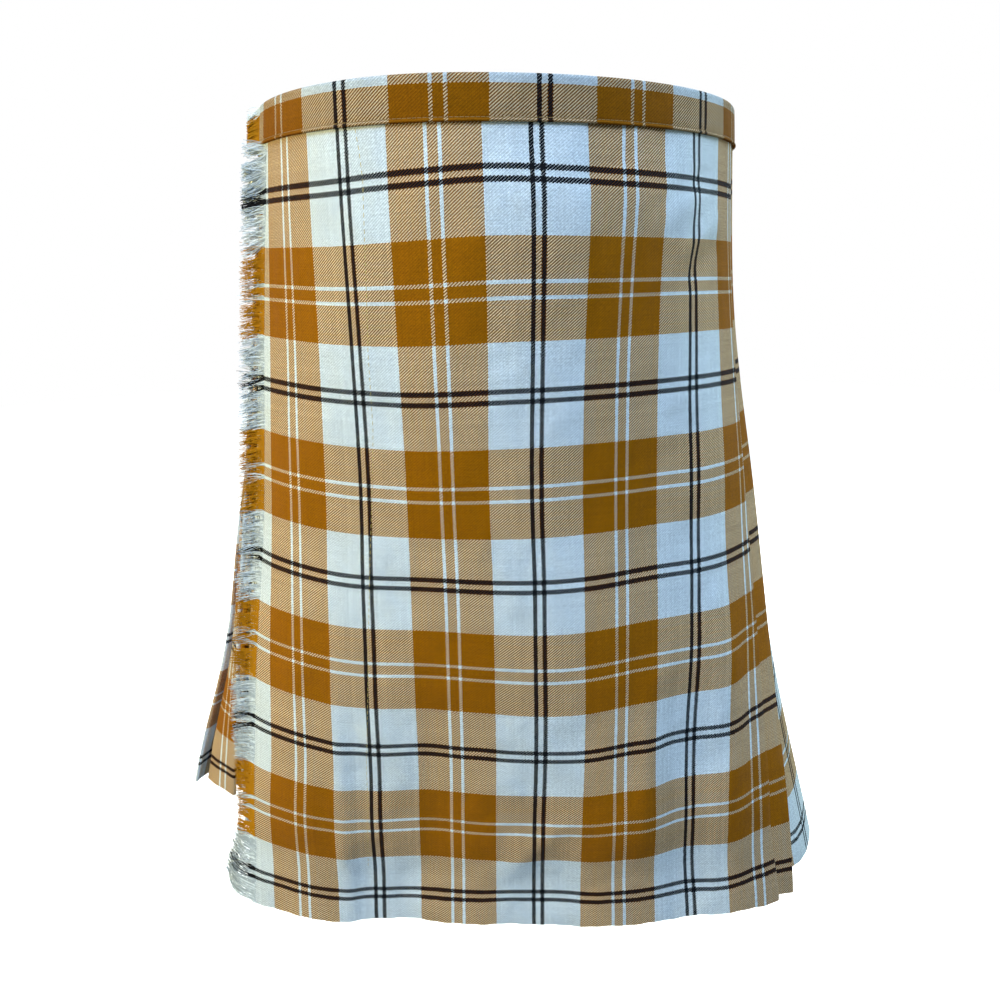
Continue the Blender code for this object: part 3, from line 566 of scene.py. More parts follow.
class Finish:
    """A material with short calls for its nodes."""

    def __init__(self, name, roughness, **constants):
        self.made = bpy.data.materials.new(name)
        self.made.use_nodes = True
        self.tree = self.made.node_tree
        self.shader = self.tree.nodes["Principled BSDF"]
        for socket, value in {"Roughness": roughness, **constants}.items():
            self.shader.inputs[socket.replace("_", " ")].default_value = value

    def put(self, socket, value):
        if isinstance(value, bpy.types.NodeSocket):
            self.tree.links.new(value, socket)
        else:
            socket.default_value = value

    def node(self, kind, inputs, output=0, **settings):
        """One output of a new node. Its inputs are numbers, colours or other nodes' outputs."""
        node = self.tree.nodes.new("ShaderNode" + kind)
        for name, value in settings.items():
            setattr(node, name, value)
        for socket, value in inputs.items():
            self.put(node.inputs[socket], value)
        return node.outputs[output]

    def math(self, operation, *values):
        return self.node("Math", dict(enumerate(values)), operation=operation)

    def mix(self, share, low, high):
        return self.node("Mix", {0: share, 2: low, 3: high}, data_type="FLOAT")

    def mix_colour(self, share, low, high, blend="MIX"):
        inputs = {0: share, 6: low, 7: high}
        return self.node("Mix", inputs, 2, data_type="RGBA", blend_type=blend)

    def scaled(self, colour, amount):
        """A colour made darker or lighter by a number."""
        return self.node("VectorMath", {0: colour, "Scale": amount}, operation="SCALE")

    def steps(self, share, stops):
        """Flat colours, each from its own share up to the next."""
        output = self.node("ValToRGB", {0: share})
        ramp = output.node.color_ramp
        ramp.interpolation = "CONSTANT"
        ramp.elements.remove(ramp.elements[-1])
        for k, (at, colour) in enumerate(stops):
            element = ramp.elements[0] if k == 0 else ramp.elements.new(at)
            element.position = at
            element.color = (*colour, 1.0)
        return output

    def uv(self):
        both = self.node("UVMap", {}, uv_map="cloth")
        u = self.node("SeparateXYZ", {0: both})
        return both, u, u.node.outputs[1]

    def noise(self, scale, detail=2.0, stretch=(1, 1, 1), coordinates=None):
        if coordinates is None:
            coordinates = self.node("TexCoord", {}, "Object")
        placed = self.node("Mapping", {0: coordinates, "Scale": stretch})
        return self.node("TexNoise", {"Vector": placed, "Scale": scale, "Detail": detail})

    def by_number(self, number):
        """A random share for each whole number."""
        return self.node("TexWhiteNoise", {"W": number}, "Value", noise_dimensions="1D")

    def bump(self, height, distance, strength=1.0, normal=None):
        inputs = {"Distance": distance, "Strength": strength, "Height": height}
        if normal is not None:
            inputs["Normal"] = normal
        return self.node("Bump", inputs)

    def done(self, colour, normal):
        self.put(self.shader.inputs["Base Color"], colour)
        self.put(self.shader.inputs["Normal"], normal)
        return self.made


WOOL = {"Sheen_Weight": 0.03, "Sheen_Roughness": 0.5, "Specular_IOR_Level": 0.04}
# Where white and mustard yarns cross, the mustard shows through the white one's fibres, and the
# mustard one lies deeper and is darkened with painted shade.
CROSSED_WHITE = (1.13, 0.745, 0.35, 1)
CROSSED_MUSTARD_PAINTED_SHADE = (0.62, 0.52, 0.80, 1)


def tartan(name, shift_across=0.0, shift_down=0.0, painted_shade_tone=1.0):
    """Two-over-two twill of dyed yarns, with shade painted into its colour between the yarns and
    along its diagonal grooves. Its diagonals rise to the right on the face.
    """
    cloth = Finish(name, 0.86, **WOOL)
    m = cloth.math
    coordinates, u, v = cloth.uv()
    stray = cloth.noise(1.0, 1.0, (420, 420, 420), coordinates)
    stray = m("MULTIPLY_ADD", stray, 1.5, -0.75)
    warp = m("ADD", m("DIVIDE", m("ADD", u, shift_across), WARP_PITCH), stray)
    weft = m("SUBTRACT", m("DIVIDE", m("ADD", v, shift_down - FIRST_BLACK_DROP), WEFT_PITCH), stray)
    warp_number = m("FLOOR", warp)
    weft_number = m("FLOOR", weft)

    def yarn_colour(number, per_sett):
        share = m("FLOORED_MODULO", m("DIVIDE", m("ADD", number, 0.5), per_sett), 1.0)
        tone = m("MULTIPLY_ADD", cloth.by_number(number), 0.22, 0.89)
        return cloth.scaled(cloth.steps(share, [(at, DYES[dye]) for at, dye in STRIPES]), tone)

    warp_colour = yarn_colour(warp_number, SETT_ACROSS / WARP_PITCH)
    weft_colour = yarn_colour(weft_number, SETT_DOWN / WEFT_PITCH)
    warp_float = m("FLOORED_MODULO", m("ADD", warp_number, weft), 4.0)
    weft_float = m("FLOORED_MODULO", m("ADD", warp, weft_number), 4.0)

    def red_and_blue(colour):
        red = cloth.node("SeparateColor", {0: colour})
        return red, red.node.outputs[2]

    warp_red, warp_blue = red_and_blue(warp_colour)
    weft_red, weft_blue = red_and_blue(weft_colour)
    black = m("SUBTRACT", *(m("LESS_THAN", red, BLACK_BELOW) for red in (warp_red, weft_red)))
    turned = m("FLOORED_MODULO", m("ADD", warp_float, 1.0), 4.0)
    from_middle = m("ABSOLUTE", m("SUBTRACT", turned, 2.0))
    warp_over = m("LESS_THAN", from_middle, m("MULTIPLY_ADD", black, 0.82, 1.0))
    gap = m("SUBTRACT", m("SUBTRACT", warp_red, warp_blue), m("SUBTRACT", weft_red, weft_blue))
    crossing = m("MINIMUM", m("MULTIPLY", m("ABSOLUTE", gap), 2.0), 1.0)
    on_white = m("GREATER_THAN", cloth.mix(warp_over, weft_blue, warp_blue), WHITE_ABOVE)

    def crown(position, along):
        """Height of a yarn: round across itself and dipping at both ends of its float."""
        across = m("SINE", m("MULTIPLY", m("FRACT", position), math.pi))
        length = m("SINE", m("MULTIPLY", along, math.pi / 2))
        return m("MULTIPLY", m("SQRT", m("ABSOLUTE", across)), m("SQRT", m("ABSOLUTE", length)))

    height = cloth.mix(warp_over, crown(weft, weft_float), crown(warp, warp_float))
    fibre = cloth.noise(1.0, 4.0, (480, 640, 640), coordinates)
    worn = cloth.noise(1.0, 3.0, (26, 26, 26), coordinates)
    colour = cloth.mix_colour(warp_over, weft_colour, warp_colour)
    # Painted shade darkens a mustard yarn where it crosses white yarns.
    tint = cloth.mix_colour(on_white, CROSSED_MUSTARD_PAINTED_SHADE, CROSSED_WHITE)
    tinted = cloth.mix_colour(crossing, (1, 1, 1, 1), tint)
    colour = cloth.mix_colour(1.0, colour, tinted, "MULTIPLY")
    wale = m("SINE", m("MULTIPLY", m("ADD", warp, weft), math.pi / 2))
    # Painted shade: the colour darkens where each yarn's crown dips between yarns, along the twill's
    # diagonal grooves (the wale term), and by the whole cloth's shade share. The fibre and worn
    # terms are random tone.
    shade = m("MULTIPLY_ADD", height, 0.66 * painted_shade_tone, 0.51 * painted_shade_tone)
    for part, change, base in ((wale, 0.14, 1.0), (fibre, 0.74, 0.64), (worn, 0.20, 0.91)):
        shade = m("MULTIPLY", shade, m("MULTIPLY_ADD", part, change, base))
    relief = m("ADD", m("MULTIPLY", wale, 0.35), m("ADD", height, m("MULTIPLY", fibre, 0.4)))
    dents = cloth.bump(cloth.noise(1.0, 2.0, (36, 28, 36), coordinates), 0.0040)
    return cloth.done(cloth.scaled(colour, shade), cloth.bump(relief, 0.00018, 0.8, dents))


def yarn(name, colour):
    """Loose yarn: soft, with a fibrous surface."""
    wool = Finish(name, 0.9, **WOOL)
    fibre = wool.noise(2600, 2.0)
    tone = wool.math("MULTIPLY_ADD", wool.noise(330, 2.0), 0.5, 0.72)
    shade = wool.math("MULTIPLY", tone, wool.math("MULTIPLY_ADD", fibre, 0.4, 0.8))
    return wool.done(wool.scaled(colour, shade), wool.bump(fibre, 0.0001))


def leather(name, colour):
    """Smooth strap leather with a fine grain, paler in random worn patches."""
    hide = Finish(name, 0.42, Specular_IOR_Level=0.45, Coat_Weight=0.08, Coat_Roughness=0.3)
    inputs = {"Vector": hide.node("TexCoord", {}, "Object"), "Scale": 1500}
    pores = hide.node("TexVoronoi", inputs, "Distance", feature="DISTANCE_TO_EDGE")
    grain = hide.math("MINIMUM", hide.math("MULTIPLY", pores, 6.0), 1.0)
    folds = hide.noise(190, 3.0)
    wear = hide.noise(60, 4.0)
    colour = hide.mix_colour(wear, (*colour, 1), tuple(c * 2.1 + 0.006 for c in colour) + (1,))
    relief = hide.math("ADD", grain, hide.math("MULTIPLY", folds, 1.4))
    return hide.done(colour, hide.bump(relief, 0.00006))


def steel(name):
    """Polished buckle metal with fine rubbing marks."""
    metal = Finish(name, 0.24, Metallic=1.0)
    marks = metal.noise(1.0, 2.0, (300, 300, 2600))
    metal.put(metal.shader.inputs["Roughness"], metal.math("MULTIPLY_ADD", marks, 0.18, 0.16))
    tone = metal.mix_colour(metal.noise(240), (0.60, 0.60, 0.62, 1), (0.74, 0.74, 0.75, 1))
    return metal.done(tone, metal.bump(marks, 0.00003))


def thread(name, colour):
    """Sewing thread."""
    spun = Finish(name, 0.7, Sheen_Weight=0.1)
    twist = spun.noise(1800, 1.0)
    shade = spun.math("MULTIPLY_ADD", twist, 0.5, 0.75)
    return spun.done(spun.scaled(colour, shade), spun.bump(twist, 0.00008))


# ---- Cloth


def levels(count, extra=()):
    """Even drops from the band to the hem, with extra ones in place of those next to them."""
    drops = TOP_IN_BAND + (LENGTH - TOP_IN_BAND) * np.linspace(0, 1, count)
    kept = [float(d) for d in drops if all(abs(d - e) > 0.0012 for e in extra)]
    return sorted(kept + list(extra))


def fold_radius(drop, at_top, at_hem):
    """The folds are pressed sharp at the top and open out towards the hem."""
    return at_top + (at_hem - at_top) * ramp(drop, *OPENING_OVER)


def arc(x, y, radius, start, end, steps):
    turn = np.radians(np.linspace(start, end, steps + 1)[1:-1])
    return x + radius * np.cos(turn), y + radius * np.sin(turn)


def apron_path(drop):
    """The outer apron from its fringed edge to its fold, and the cloth turned under there."""
    radius = fold_radius(drop, 0.70 * MM, 2.2 * MM)
    middle = -CLOTH / 2
    turn_at = apron_fold(drop) - radius
    flat = np.linspace(free_edge(drop), turn_at, 150)
    bend_x, bend_y = arc(turn_at, middle - radius, radius, 90, -90, 7)
    end_x, end_y = on_first_return(drop, SEAM_SHARE)
    back = np.linspace(0, 1, 8)
    across = np.concatenate([flat, bend_x, turn_at + (end_x - turn_at) * back])
    low = middle - 2 * radius
    out = np.concatenate([np.full_like(flat, middle), bend_y, low + (end_y - low) * back])
    u = flat[0] + np.concatenate([[0], np.cumsum(np.hypot(np.diff(across), np.diff(out)))])
    return across, out, u


def hem_wave(across, drop):
    """The hem isn't cut dead straight: it rises and falls by about a millimetre."""
    near_hem = ramp(drop, LENGTH - HEM_WAVE_TALL, HEM_WAVE_TALL)
    wave = 0.6 * np.sin(across * 71) + 0.4 * np.sin(across * 163 + 2.1)
    return near_hem * (wave + 0.25 * np.sin(across * 411)) * MM


def build_outer_apron(finish):
    obj = ribbon_shell("outer_apron_cloth", levels(150), apron_path, CLOTH / 2, finish, apron=True)
    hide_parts("outer_apron")
    return obj


def pleat_uneven(k, drop):
    """Sideways shift, lift and depth change of one pleat's fold. The sewn top has none of them."""
    free = ramp(drop, *UNEVEN_OVER)
    rng = np.random.default_rng(100 + k)
    a, b, c, d = rng.uniform(-1, 1, 4)
    waves = math.sin(drop * 11 + 3 * d)
    shift = (2.6 * a + 1.3 * waves * b) * MM
    lift = (1.6 * b + 0.9 * waves * c) * MM
    return free * shift, free * lift, free * 0.10 * c


PLEAT_CLOTH_LENGTH = 1.5 * SETT_ACROSS
FIRST_FOLD_U = 0.3345
SECOND_LENGTH_FROM = 12
SECOND_LENGTH_SHIFT = 0.919 * SETT_ACROSS
PLEAT_BULGE = 1.6 * MM
FACE_STEPS = 7
BEND_STEPS = 4
RETURN_STEPS = 3


def pleat_folds(drop):
    """Outer and inner fold tips of all pleats at one drop, as (across, out) pairs."""
    wide = reveal(drop)
    tuck = OVERLAP_SHARE * wide
    deep = stack(drop)
    top = -PLEAT_CLOTH / 2
    outer, inner = [], []
    for k in range(PLEATS + 1):
        fold = APRON_FOLD + wide * (k + 1)
        start = fold - wide - tuck
        shift, lift, deeper = pleat_uneven(k, drop)
        if k in (0, PLEATS - 1):
            shift, lift, deeper = 0.0, 0.0, 0.0
        edge = fold + shift - pleat_drawn_in(k, drop)
        outer.append((edge, top + lift - sink(fold, drop)))
        low = top - deep * (1 + deeper) - sink(start, drop)
        inner.append((start - shift * 0.5, low))
    return outer, inner


def pleat_path(drop):
    """The pleats' cloth from the first return round the back to the start of the under apron."""
    radius = fold_radius(drop, 0.65 * MM, 1.7 * MM)
    outer, inner = pleat_folds(drop)
    bulge = PLEAT_BULGE * ramp(drop, *BULGE_OVER)
    path = []

    def add(across, out, u):
        path.append(np.stack(np.broadcast_arrays(across, out, u)))

    def add_return(ix, iy):
        """The cloth from the outer fold before to an inner fold, and the places of its bend."""
        share = np.linspace(0, 1, RETURN_STEPS + 1)
        xs = from_x + (ix + radius - from_x) * share
        add(xs, from_y + (iy + 2 * radius - from_y) * share, from_u + (from_x - xs))
        return arc(ix + radius, iy + radius, radius, 90, 270, BEND_STEPS)

    wide = reveal(drop)
    tuck = OVERLAP_SHARE * wide
    from_x, from_y = on_first_return(drop, SEAM_SHARE + SEAM_GAP / tuck)
    from_u = APRON_FOLD + (APRON_FOLD - from_x)
    for k in range(PLEATS):
        ix, iy = inner[k]
        ox, oy = outer[k]
        fold_u = FIRST_FOLD_U + PLEAT_CLOTH_LENGTH * k
        if k >= SECOND_LENGTH_FROM:
            fold_u += SECOND_LENGTH_SHIFT
        bend_x, bend_y = add_return(ix, iy)
        start_u = fold_u - (ox - ix)
        bend_u = np.where(np.arange(len(bend_x)) < len(bend_x) / 2, from_u + from_x - ix, start_u)
        add(bend_x, bend_y, bend_u)
        share = np.linspace(0, 1, FACE_STEPS)
        if k == SLIT_PLEAT:
            length = ox - ix - 2 * radius
            a, b = ((edge - ix - radius) / length for edge in SLIT)
            share = np.array([0, a / 2, a, b, b + (1 - b) / 3, b + 2 * (1 - b) / 3, 1])
        xs = ix + radius + (ox - ix - 2 * radius) * share
        ys = iy + (oy - iy) * share + bulge * np.sin(math.pi * share) ** 2
        add(xs, ys, fold_u - (ox - xs))
        bend_x, bend_y = arc(ox - radius, oy - radius, radius, 90, -90, BEND_STEPS)
        add(bend_x, bend_y, fold_u + np.linspace(0, 2 * radius, len(bend_x)))
        from_x, from_y, from_u = ox - radius, oy - 2 * radius, fold_u + 3 * radius
    ix, iy = inner[PLEATS]
    add(*add_return(ix, iy), from_u + from_x - ix)
    end = last_fold(drop) + UNDER_START - SEAM_GAP
    share = np.linspace(0, 1, 12)
    xs = ix + radius + (end - ix - radius) * share
    add(xs, iy + (under_out(drop) - iy) * share, from_u + from_x - ix + xs - ix)
    return np.concatenate(path, axis=1)


def build_pleats(finish):
    slit = (STRAP_DROP - SLIT_TALL, STRAP_DROP + SLIT_TALL)
    drops = levels(74, slit)
    before = (RETURN_STEPS + 1) + (BEND_STEPS - 1)
    per_pleat = before + FACE_STEPS + (BEND_STEPS - 1)
    column = SLIT_PLEAT * per_pleat + before + 2
    columns = len(pleat_path(0.3)[0])
    missing = np.zeros((len(drops) - 1, columns - 1), bool)
    for row, (above, below) in enumerate(zip(drops, drops[1:])):
        missing[row, column] = slit[0] < (above + below) / 2 < slit[1]
    obj = ribbon_shell("pleated_back_cloth", drops, pleat_path, PLEAT_CLOTH / 2, finish, missing)
    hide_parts("pleated_back")
    return obj


UNDER_CLOTH_SHIFT = 0.031  # how far its tartan starts from the outer apron's


def under_path(drop):
    start = last_fold(drop) + UNDER_START - section(drop).round
    across = np.linspace(start, UNDER_APRON_END, 90)
    return across, np.full_like(across, under_out(drop)), across + UNDER_CLOTH_SHIFT


def build_under_apron(finish):
    obj = ribbon_shell("under_apron_cloth", levels(70), under_path, PLEAT_CLOTH / 2, finish)
    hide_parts("under_apron")
    return obj


def band_stations(drop):
    """Places along the waistband, and the outer and inner face of what it is folded over."""
    tuck = OVERLAP_SHARE * reveal(drop)
    depth = PLEAT_CLOTH + stack(drop)
    pleats_start = APRON_FOLD - tuck - FOLD_TIP
    pleats_end = last_fold(drop) + FOLD_TIP
    front = np.linspace(free_edge(drop) - BAND_PAST_EDGE, pleats_start - BAND_STEP_RUN, 130)
    pleated = np.linspace(pleats_start, pleats_end, 200)
    under = np.linspace(last_fold(drop) + UNDER_START + BAND_STEP_RUN,
                        section(drop).round + UNDER_APRON_END, 100)
    low = sink(pleated, drop)
    middle = under_out(drop)
    places = np.concatenate([front, pleated, under])
    half = PLEAT_CLOTH / 2
    outer = np.concatenate([0 * front, -low, 0 * under + middle + half])
    inner = np.concatenate([0 * front - CLOTH, -depth - low, 0 * under + middle - half])
    return places, outer, inner


BAND_STITCH_DROP = BAND_TALL - 0.0024
BAND_PROFILE = [
    # drop (mm), share of the way from the outer to the inner side, distance beyond it (mm)
    (26, 0, 0.9), (25.7, 0, 1.9), (25.1, 0, 2.15), (24.4, 0, 1.75), (23.8, 0, 1.08),
    (23.5, 0, 1.05), (23, 0, 1.22), (22, 0, 1.34), (19, 0, 1.36), (15, 0, 1.34), (11, 0, 1.32),
    (7, 0, 1.3), (3.5, 0, 1.3), (1.8, 0, 1.26), (0.8, 0, 1.08), (0.2, 0, 0.66), (0, 0.25, 0.2),
    (0, 0.5, 0), (0, 0.75, -0.2), (0.2, 1, -0.66), (0.8, 1, -1.08), (1.8, 1, -1.26),
    (3.5, 1, -1.3), (9, 1, -1.3), (15, 1, -1.3), (21, 1, -1.3), (23.5, 1, -1.22),
    (24.8, 1, -1.32), (26, 1, -1.2),
]


def build_waistband(finish):
    """A strip folded over the top edge, turned in at its lower edge and stitched through."""
    outer, inner, uv = [], [], []
    run = 0.0
    for drop, share, beyond in BAND_PROFILE:
        drop, beyond = drop * MM, beyond * MM
        places, outside, inside = band_stations(drop)
        face = outside + (inside - outside) * share + beyond
        wave = 0.18 * MM * np.sin(places * 640) * ramp(drop, *RIPPLE_OVER)
        outer.append(place(places, drop, face + wave * (1 - share)))
        shift = -np.sign(beyond) * BAND_CLOTH if share in (0, 1) else 0
        lower = drop if share in (0, 1) else drop + BAND_CLOTH
        lower = max(lower, TOP_IN_BAND - SEAM_GAP) if drop < TOP_IN_BAND else lower
        inner.append(place(places, lower, face + shift))
        if len(outer) > 1:
            run += np.linalg.norm(outer[-1][60] - outer[-2][60])
        uv.append(np.stack([places / BAND_STRETCH, np.full_like(places, run)], 1))
    uv = np.array(uv)
    top = uv[next(k for k, row in enumerate(BAND_PROFILE) if row[1] == 0.5), 0, 1]
    uv[:, :, 1] = top - uv[:, :, 1]
    outer, inner = np.array(outer)[::-1], np.array(inner)[::-1]
    obj = shell("waistband_cloth", outer, inner, uv[::-1], finish, "waistband_cloth")
    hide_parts("waistband")
    return obj


# ---- Yarn ends and stitches


FRINGE_YARNS, TOP_YARNS, TUFT_YARNS = 3600, 700, 620
THICKER_TOP = (0.030, 0.068)  # the drops between which the fringe is thicker
FRINGE_HELD = 0.0045  # the part of each yarn that lies on the cloth
FRINGE_END = LENGTH - 0.0006
# The yarns spread near the hem: they are longer there and stand further off the cloth.
FLARE_LONGER = 0.95
FLARE_RISE = 0.0155
FRINGE_RISE = 0.0118
# From the thighs down they cling closer to the cloth.
CLINGS_BY = 0.0070
SHADED_SHARE = 0.6  # of the white yarns


def look_at(drop):
    """The look of the loose weft yarn at each drop."""
    share = np.mod((drop - FIRST_BLACK_DROP) / SETT_DOWN, 1.0)
    index = np.searchsorted([at for at, _ in STRIPES], share, side="right") - 1
    return np.array([LOOK[dye.split("_")[0]] for _, dye in STRIPES])[index]


def frayed(name, rng, drops, root, length, rise, looks, finish, out, fall, clump, radius):
    """Yarn ends that stand from a cut edge, droop and cling together in small clumps."""
    count = len(drops)
    group = np.floor(drops / clump + rng.uniform(-0.3, 0.3, count)).astype(int)
    lean = np.random.default_rng(5).uniform(-1, 1, group.max() + 9)[group % (group.max() + 9)]
    middle = (group + 0.5) * clump
    s = np.linspace(0, 1, 8)
    long = (length * rng.uniform(0.82, 1.20, count))[:, None]
    slope = (rng.normal(0, 0.10, count) + 0.22 * lean)[:, None]
    sag = rng.uniform(0.3, 1.0, (count, 1)) * fall
    pull = rng.uniform(0.25, 0.85, (count, 1))
    swing = rng.uniform(0, 2 * math.pi, (count, 1))
    curl = rng.uniform(0.2, 1.0, (count, 1)) * 0.0008
    drop = drops[:, None] + (middle - drops)[:, None] * pull * s**1.5
    drop = drop + slope * long * s + sag * s**1.7 + curl * np.sin(s * 5.5 + swing) * s
    lift = rng.uniform(0.55, 1.08, (count, 1)) * rise
    height = out + lift * s**1.8 + curl * np.cos(s * 6.5 + swing) * s
    across = root[:, None] - long * (s - 0.10 * s**2)
    drop = np.minimum(drop, FRINGE_END)
    paths = place_each(across, drop, height, creased=True)
    thin = radius * (1 - 0.35 * s)
    uv = np.stack([across, np.broadcast_to(drops[:, None], across.shape)], -1)
    return tubes(name, paths, thin, uv, 3, finish, looks)


def build_fringes(yarns):
    """The apron's weft ends along its cut edge, and the tuft at the waistband's end."""
    rng = np.random.default_rng(31)
    thick_top = np.linspace(*THICKER_TOP, TOP_YARNS)
    drops = np.concatenate([np.linspace(BAND_TALL + 0.0004, FRINGE_END, FRINGE_YARNS), thick_top])
    count = len(drops)
    drops = np.clip(drops + rng.uniform(-0.0002, 0.0002, count), BAND_TALL, FRINGE_END)
    longer = ramp(drops, FRINGE_LONG_FROM, FRINGE_LONG_RUN)
    flare = ramp(drops, *FLARE_OVER)
    length = FRINGE_HELD + FRINGE_LENGTH + (FRINGE_LENGTH_HEM - FRINGE_LENGTH) * longer
    length *= 1 + FLARE_LONGER * flare
    rise = FRINGE_RISE - CLINGS_BY * ramp(drops, *CLINGS_OVER) + FLARE_RISE * flare
    root = free_edge(drops) + rng.uniform(0.0030, 0.0055, count)
    looks = look_at(drifted(free_edge(drops), drops)[1])
    looks[(looks == LOOK["white"]) & (rng.uniform(0, 1, count) < SHADED_SHARE)] = LOOK["shaded"]
    fringe = frayed(
        "apron_fringe_yarn", rng, drops, root, length, rise[:, None], looks, yarns,
        out=0.0001, fall=0.0042, clump=0.0036, radius=0.00025,
    )
    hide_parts("apron_fringe")
    drops = rng.uniform(0.001, BAND_TALL - 0.001, TUFT_YARNS)
    root = np.full(TUFT_YARNS, free_edge(TOP_IN_BAND) - BAND_PAST_EDGE + 0.0006)
    looks = np.where(drops < BAND_WHITE * 0.8, LOOK["white"], LOOK["mustard"])
    tuft = frayed(
        "band_fringe_yarn", rng, drops, root, 0.015, 0.0075, looks, yarns,
        out=0.0, fall=0.005, clump=0.0055, radius=0.00036,
    )
    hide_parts("band_fringe")
    return fringe, tuft


def stitches(name, across, drop, out, radius, gap, finish, creased=False):
    """Running stitches along a line of places. Each dips into the cloth at both ends.

    The gap is given as the length of a stitch and the space to the next.
    """
    points = place_each(across, drop, out, creased)
    run = np.concatenate([[0], np.cumsum(np.linalg.norm(np.diff(points, axis=0), axis=1))])
    long, between = gap
    starts = np.arange(0, run[-1] - long, long + between)
    s = np.linspace(0, 1, 5)
    at = starts[:, None] + s * long
    height = radius * 0.7 * np.sin(math.pi * s) - radius * 0.7
    places = (np.interp(at, run, values) for values in (across, drop))
    paths = place_each(*places, out + height, creased)
    uv = np.stack([at, np.zeros_like(at)], -1)
    return tubes(name, paths, radius, uv, 5, finish)


BASTING = [
    # drop, across
    (0.027, -0.1100), (0.039, -0.1078), (0.056, -0.1059), (0.091, -0.1068), (0.159, -0.1094),
    (0.210, -0.1092), (0.258, -0.1126), (0.302, -0.1165), (0.394, -0.1227), (0.470, -0.1287),
    (0.514, -0.1303), (0.565, -0.1341),
]


def build_stitching(gold, matching):
    """The waistband's line of stitches, and a basting thread left in down the front."""
    across = np.linspace(APRON_FREE_EDGE_TOP + 0.002, last_fold(0.024) - 0.002, 800)
    drop = np.full_like(across, BAND_STITCH_DROP)
    line = stitches(
        "waistband_stitching", across, drop, 1.25 * MM, 0.22 * MM, (2.5 * MM, 0.6 * MM), matching
    )
    drops = np.linspace(BASTING[0][0], BASTING[-1][0], 400)
    across = np.interp(drops, [row[0] for row in BASTING], [row[1] for row in BASTING])
    stitches(
        "basting_thread", across, drops, 0.15 * MM, 0.20 * MM, (2.6 * MM, 2.2 * MM), gold, True
    )
    return line


# ---- Straps


def eased(path, rounds=2):
    """A path with its corners cut smoothly."""
    points = np.array(path, float)
    for _ in range(rounds):
        a, b = points[:-1], points[1:]
        cut = np.stack([a * 0.75 + b * 0.25, a * 0.25 + b * 0.75], 1).reshape(-1, 2)
        points = np.concatenate([points[:1], cut, points[-1:]])
    return points


class Strap:
    """The leather on one side of the waist. Runs are measured from the buckle's front bar."""

    def __init__(self, side, front_bar, way):
        self.side, self.front_bar, self.way = side, front_bar, way

    def points(self, run, down, height):
        across = self.front_bar + self.way * run
        around = np.where(across > 0, across, across + section(STRAP_DROP).round)
        return place_each(across, STRAP_DROP + down, height - sink(around, STRAP_DROP))

    def leather(self, name, path, half, columns, finish, holes=(), tip=None):
        """A strip along a path of (run, height). Holes are (from, to, at which heights)."""
        path = eased(path)
        narrow = np.ones(len(path))
        if tip:
            past = np.clip((path[:, 0] - tip[0]) / tip[1], 0, 1)
            narrow = np.sqrt(1 - 0.92 * past**2)
        down = narrow[:, None] * columns
        grids = [self.points(face[:, :1], down, face[:, 1:]) for face in both_faces(path, half)]
        uv = np.stack([path[:, :1] + 0 * down, down], -1)
        middle = (path[:-1] + path[1:]) / 2
        centre = (columns[:-1] + columns[1:]) / 2
        missing = np.zeros((len(middle), len(centre)), bool)
        for low, high, over in holes:
            along = (middle[:, 0] > low) & (middle[:, 0] < high) & over(middle[:, 1])
            missing |= along[:, None] & (np.abs(centre) < SLOT_HALF)[None, :]
        title = f"{self.side}_{name}_leather"
        obj = shell(title, *grids, uv, finish, "strap_leather", missing)
        bevel = obj.modifiers.new("worn_edges", "BEVEL")
        bevel.width = 0.35 * MM
        bevel.segments = 2
        bevel.limit_method = "ANGLE"
        bevel.angle_limit = math.radians(55)
        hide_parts(f"{self.side}_{name}")
        return obj


TAIL = [
    # share of the tail's length, height, dips added to it
    (0.09, STRAP_OVER_BAR, -0.5), (0.30, STRAP_ON_TAB, 0.3), (0.44, STRAP_ON_TAB, 0),
    (0.74, STRAP_ON_TAB, 0), (0.87, STRAP_ON_TAB, -0.5), (1, STRAP_ON_TAB, -1),
]
TIP_LONG = 0.009
TAB_SLOT = (0.0045, 0.0006)  # the prong's slot, from the bar towards the buckle's front


def strap_columns(wide):
    """Where the lines of points lie across a strap. The middle two border its holes."""
    half = wide / 2
    side = [SLOT_HALF, half * 0.45, half * 0.8, half]
    return np.array([-at for at in reversed(side)] + side)


def build_fastening(strap, start, hide):
    """A strap through its buckle, and the tab that holds the buckle's bar."""
    slope = (STRAP_OVER_BAR - STRAP_LIES) / (RISE_END - RISE_START)
    path = start + [(LYING_TO, STRAP_LIES), (RISE_START, STRAP_LIES)]
    path += [(run, STRAP_LIES + slope * (run - RISE_START)) for run in PRONG_HOLE]
    path += [(RISE_END, STRAP_OVER_BAR)]
    for share, height, dips in TAIL:
        path.append((BUCKLE_SPAN + share * TAIL_LONG, height + dips * TAIL_DIP))
    hole = (*PRONG_HOLE, lambda height: height > -1)
    tip = (BUCKLE_SPAN + TAIL_LONG - TIP_LONG, TIP_LONG)
    strap.leather("strap", path, STRAP_THICK / 2, strap_columns(STRAP_WIDE), hide, [hole], tip)
    half = TAB_THICK / 2
    low = SEAM_GAP + half
    high = low + TAB_THICK + SEAM_GAP
    wrap = WIRE + SEAM_GAP + half
    end, near = BUCKLE_SPAN + TAB_LONG, BUCKLE_SPAN + TAB_CLEAR_OF_BAR
    path = [(run, low) for run in np.linspace(end, near, 4)]
    for turn in np.radians(np.linspace(-85, 105, 8)):
        path.append((BUCKLE_SPAN - wrap * math.cos(turn), BAR_HEIGHT + wrap * math.sin(turn)))
    path += [(run, high) for run in np.linspace(near + 0.002, end - 0.003, 3)]
    slot_from, slot_to = (BUCKLE_SPAN - past for past in TAB_SLOT)
    slot = (slot_from, slot_to, lambda height: height > BAR_HEIGHT - 0.0018)
    strap.leather("strap_tab", path, half, strap_columns(TAB_WIDE), hide, [slot])


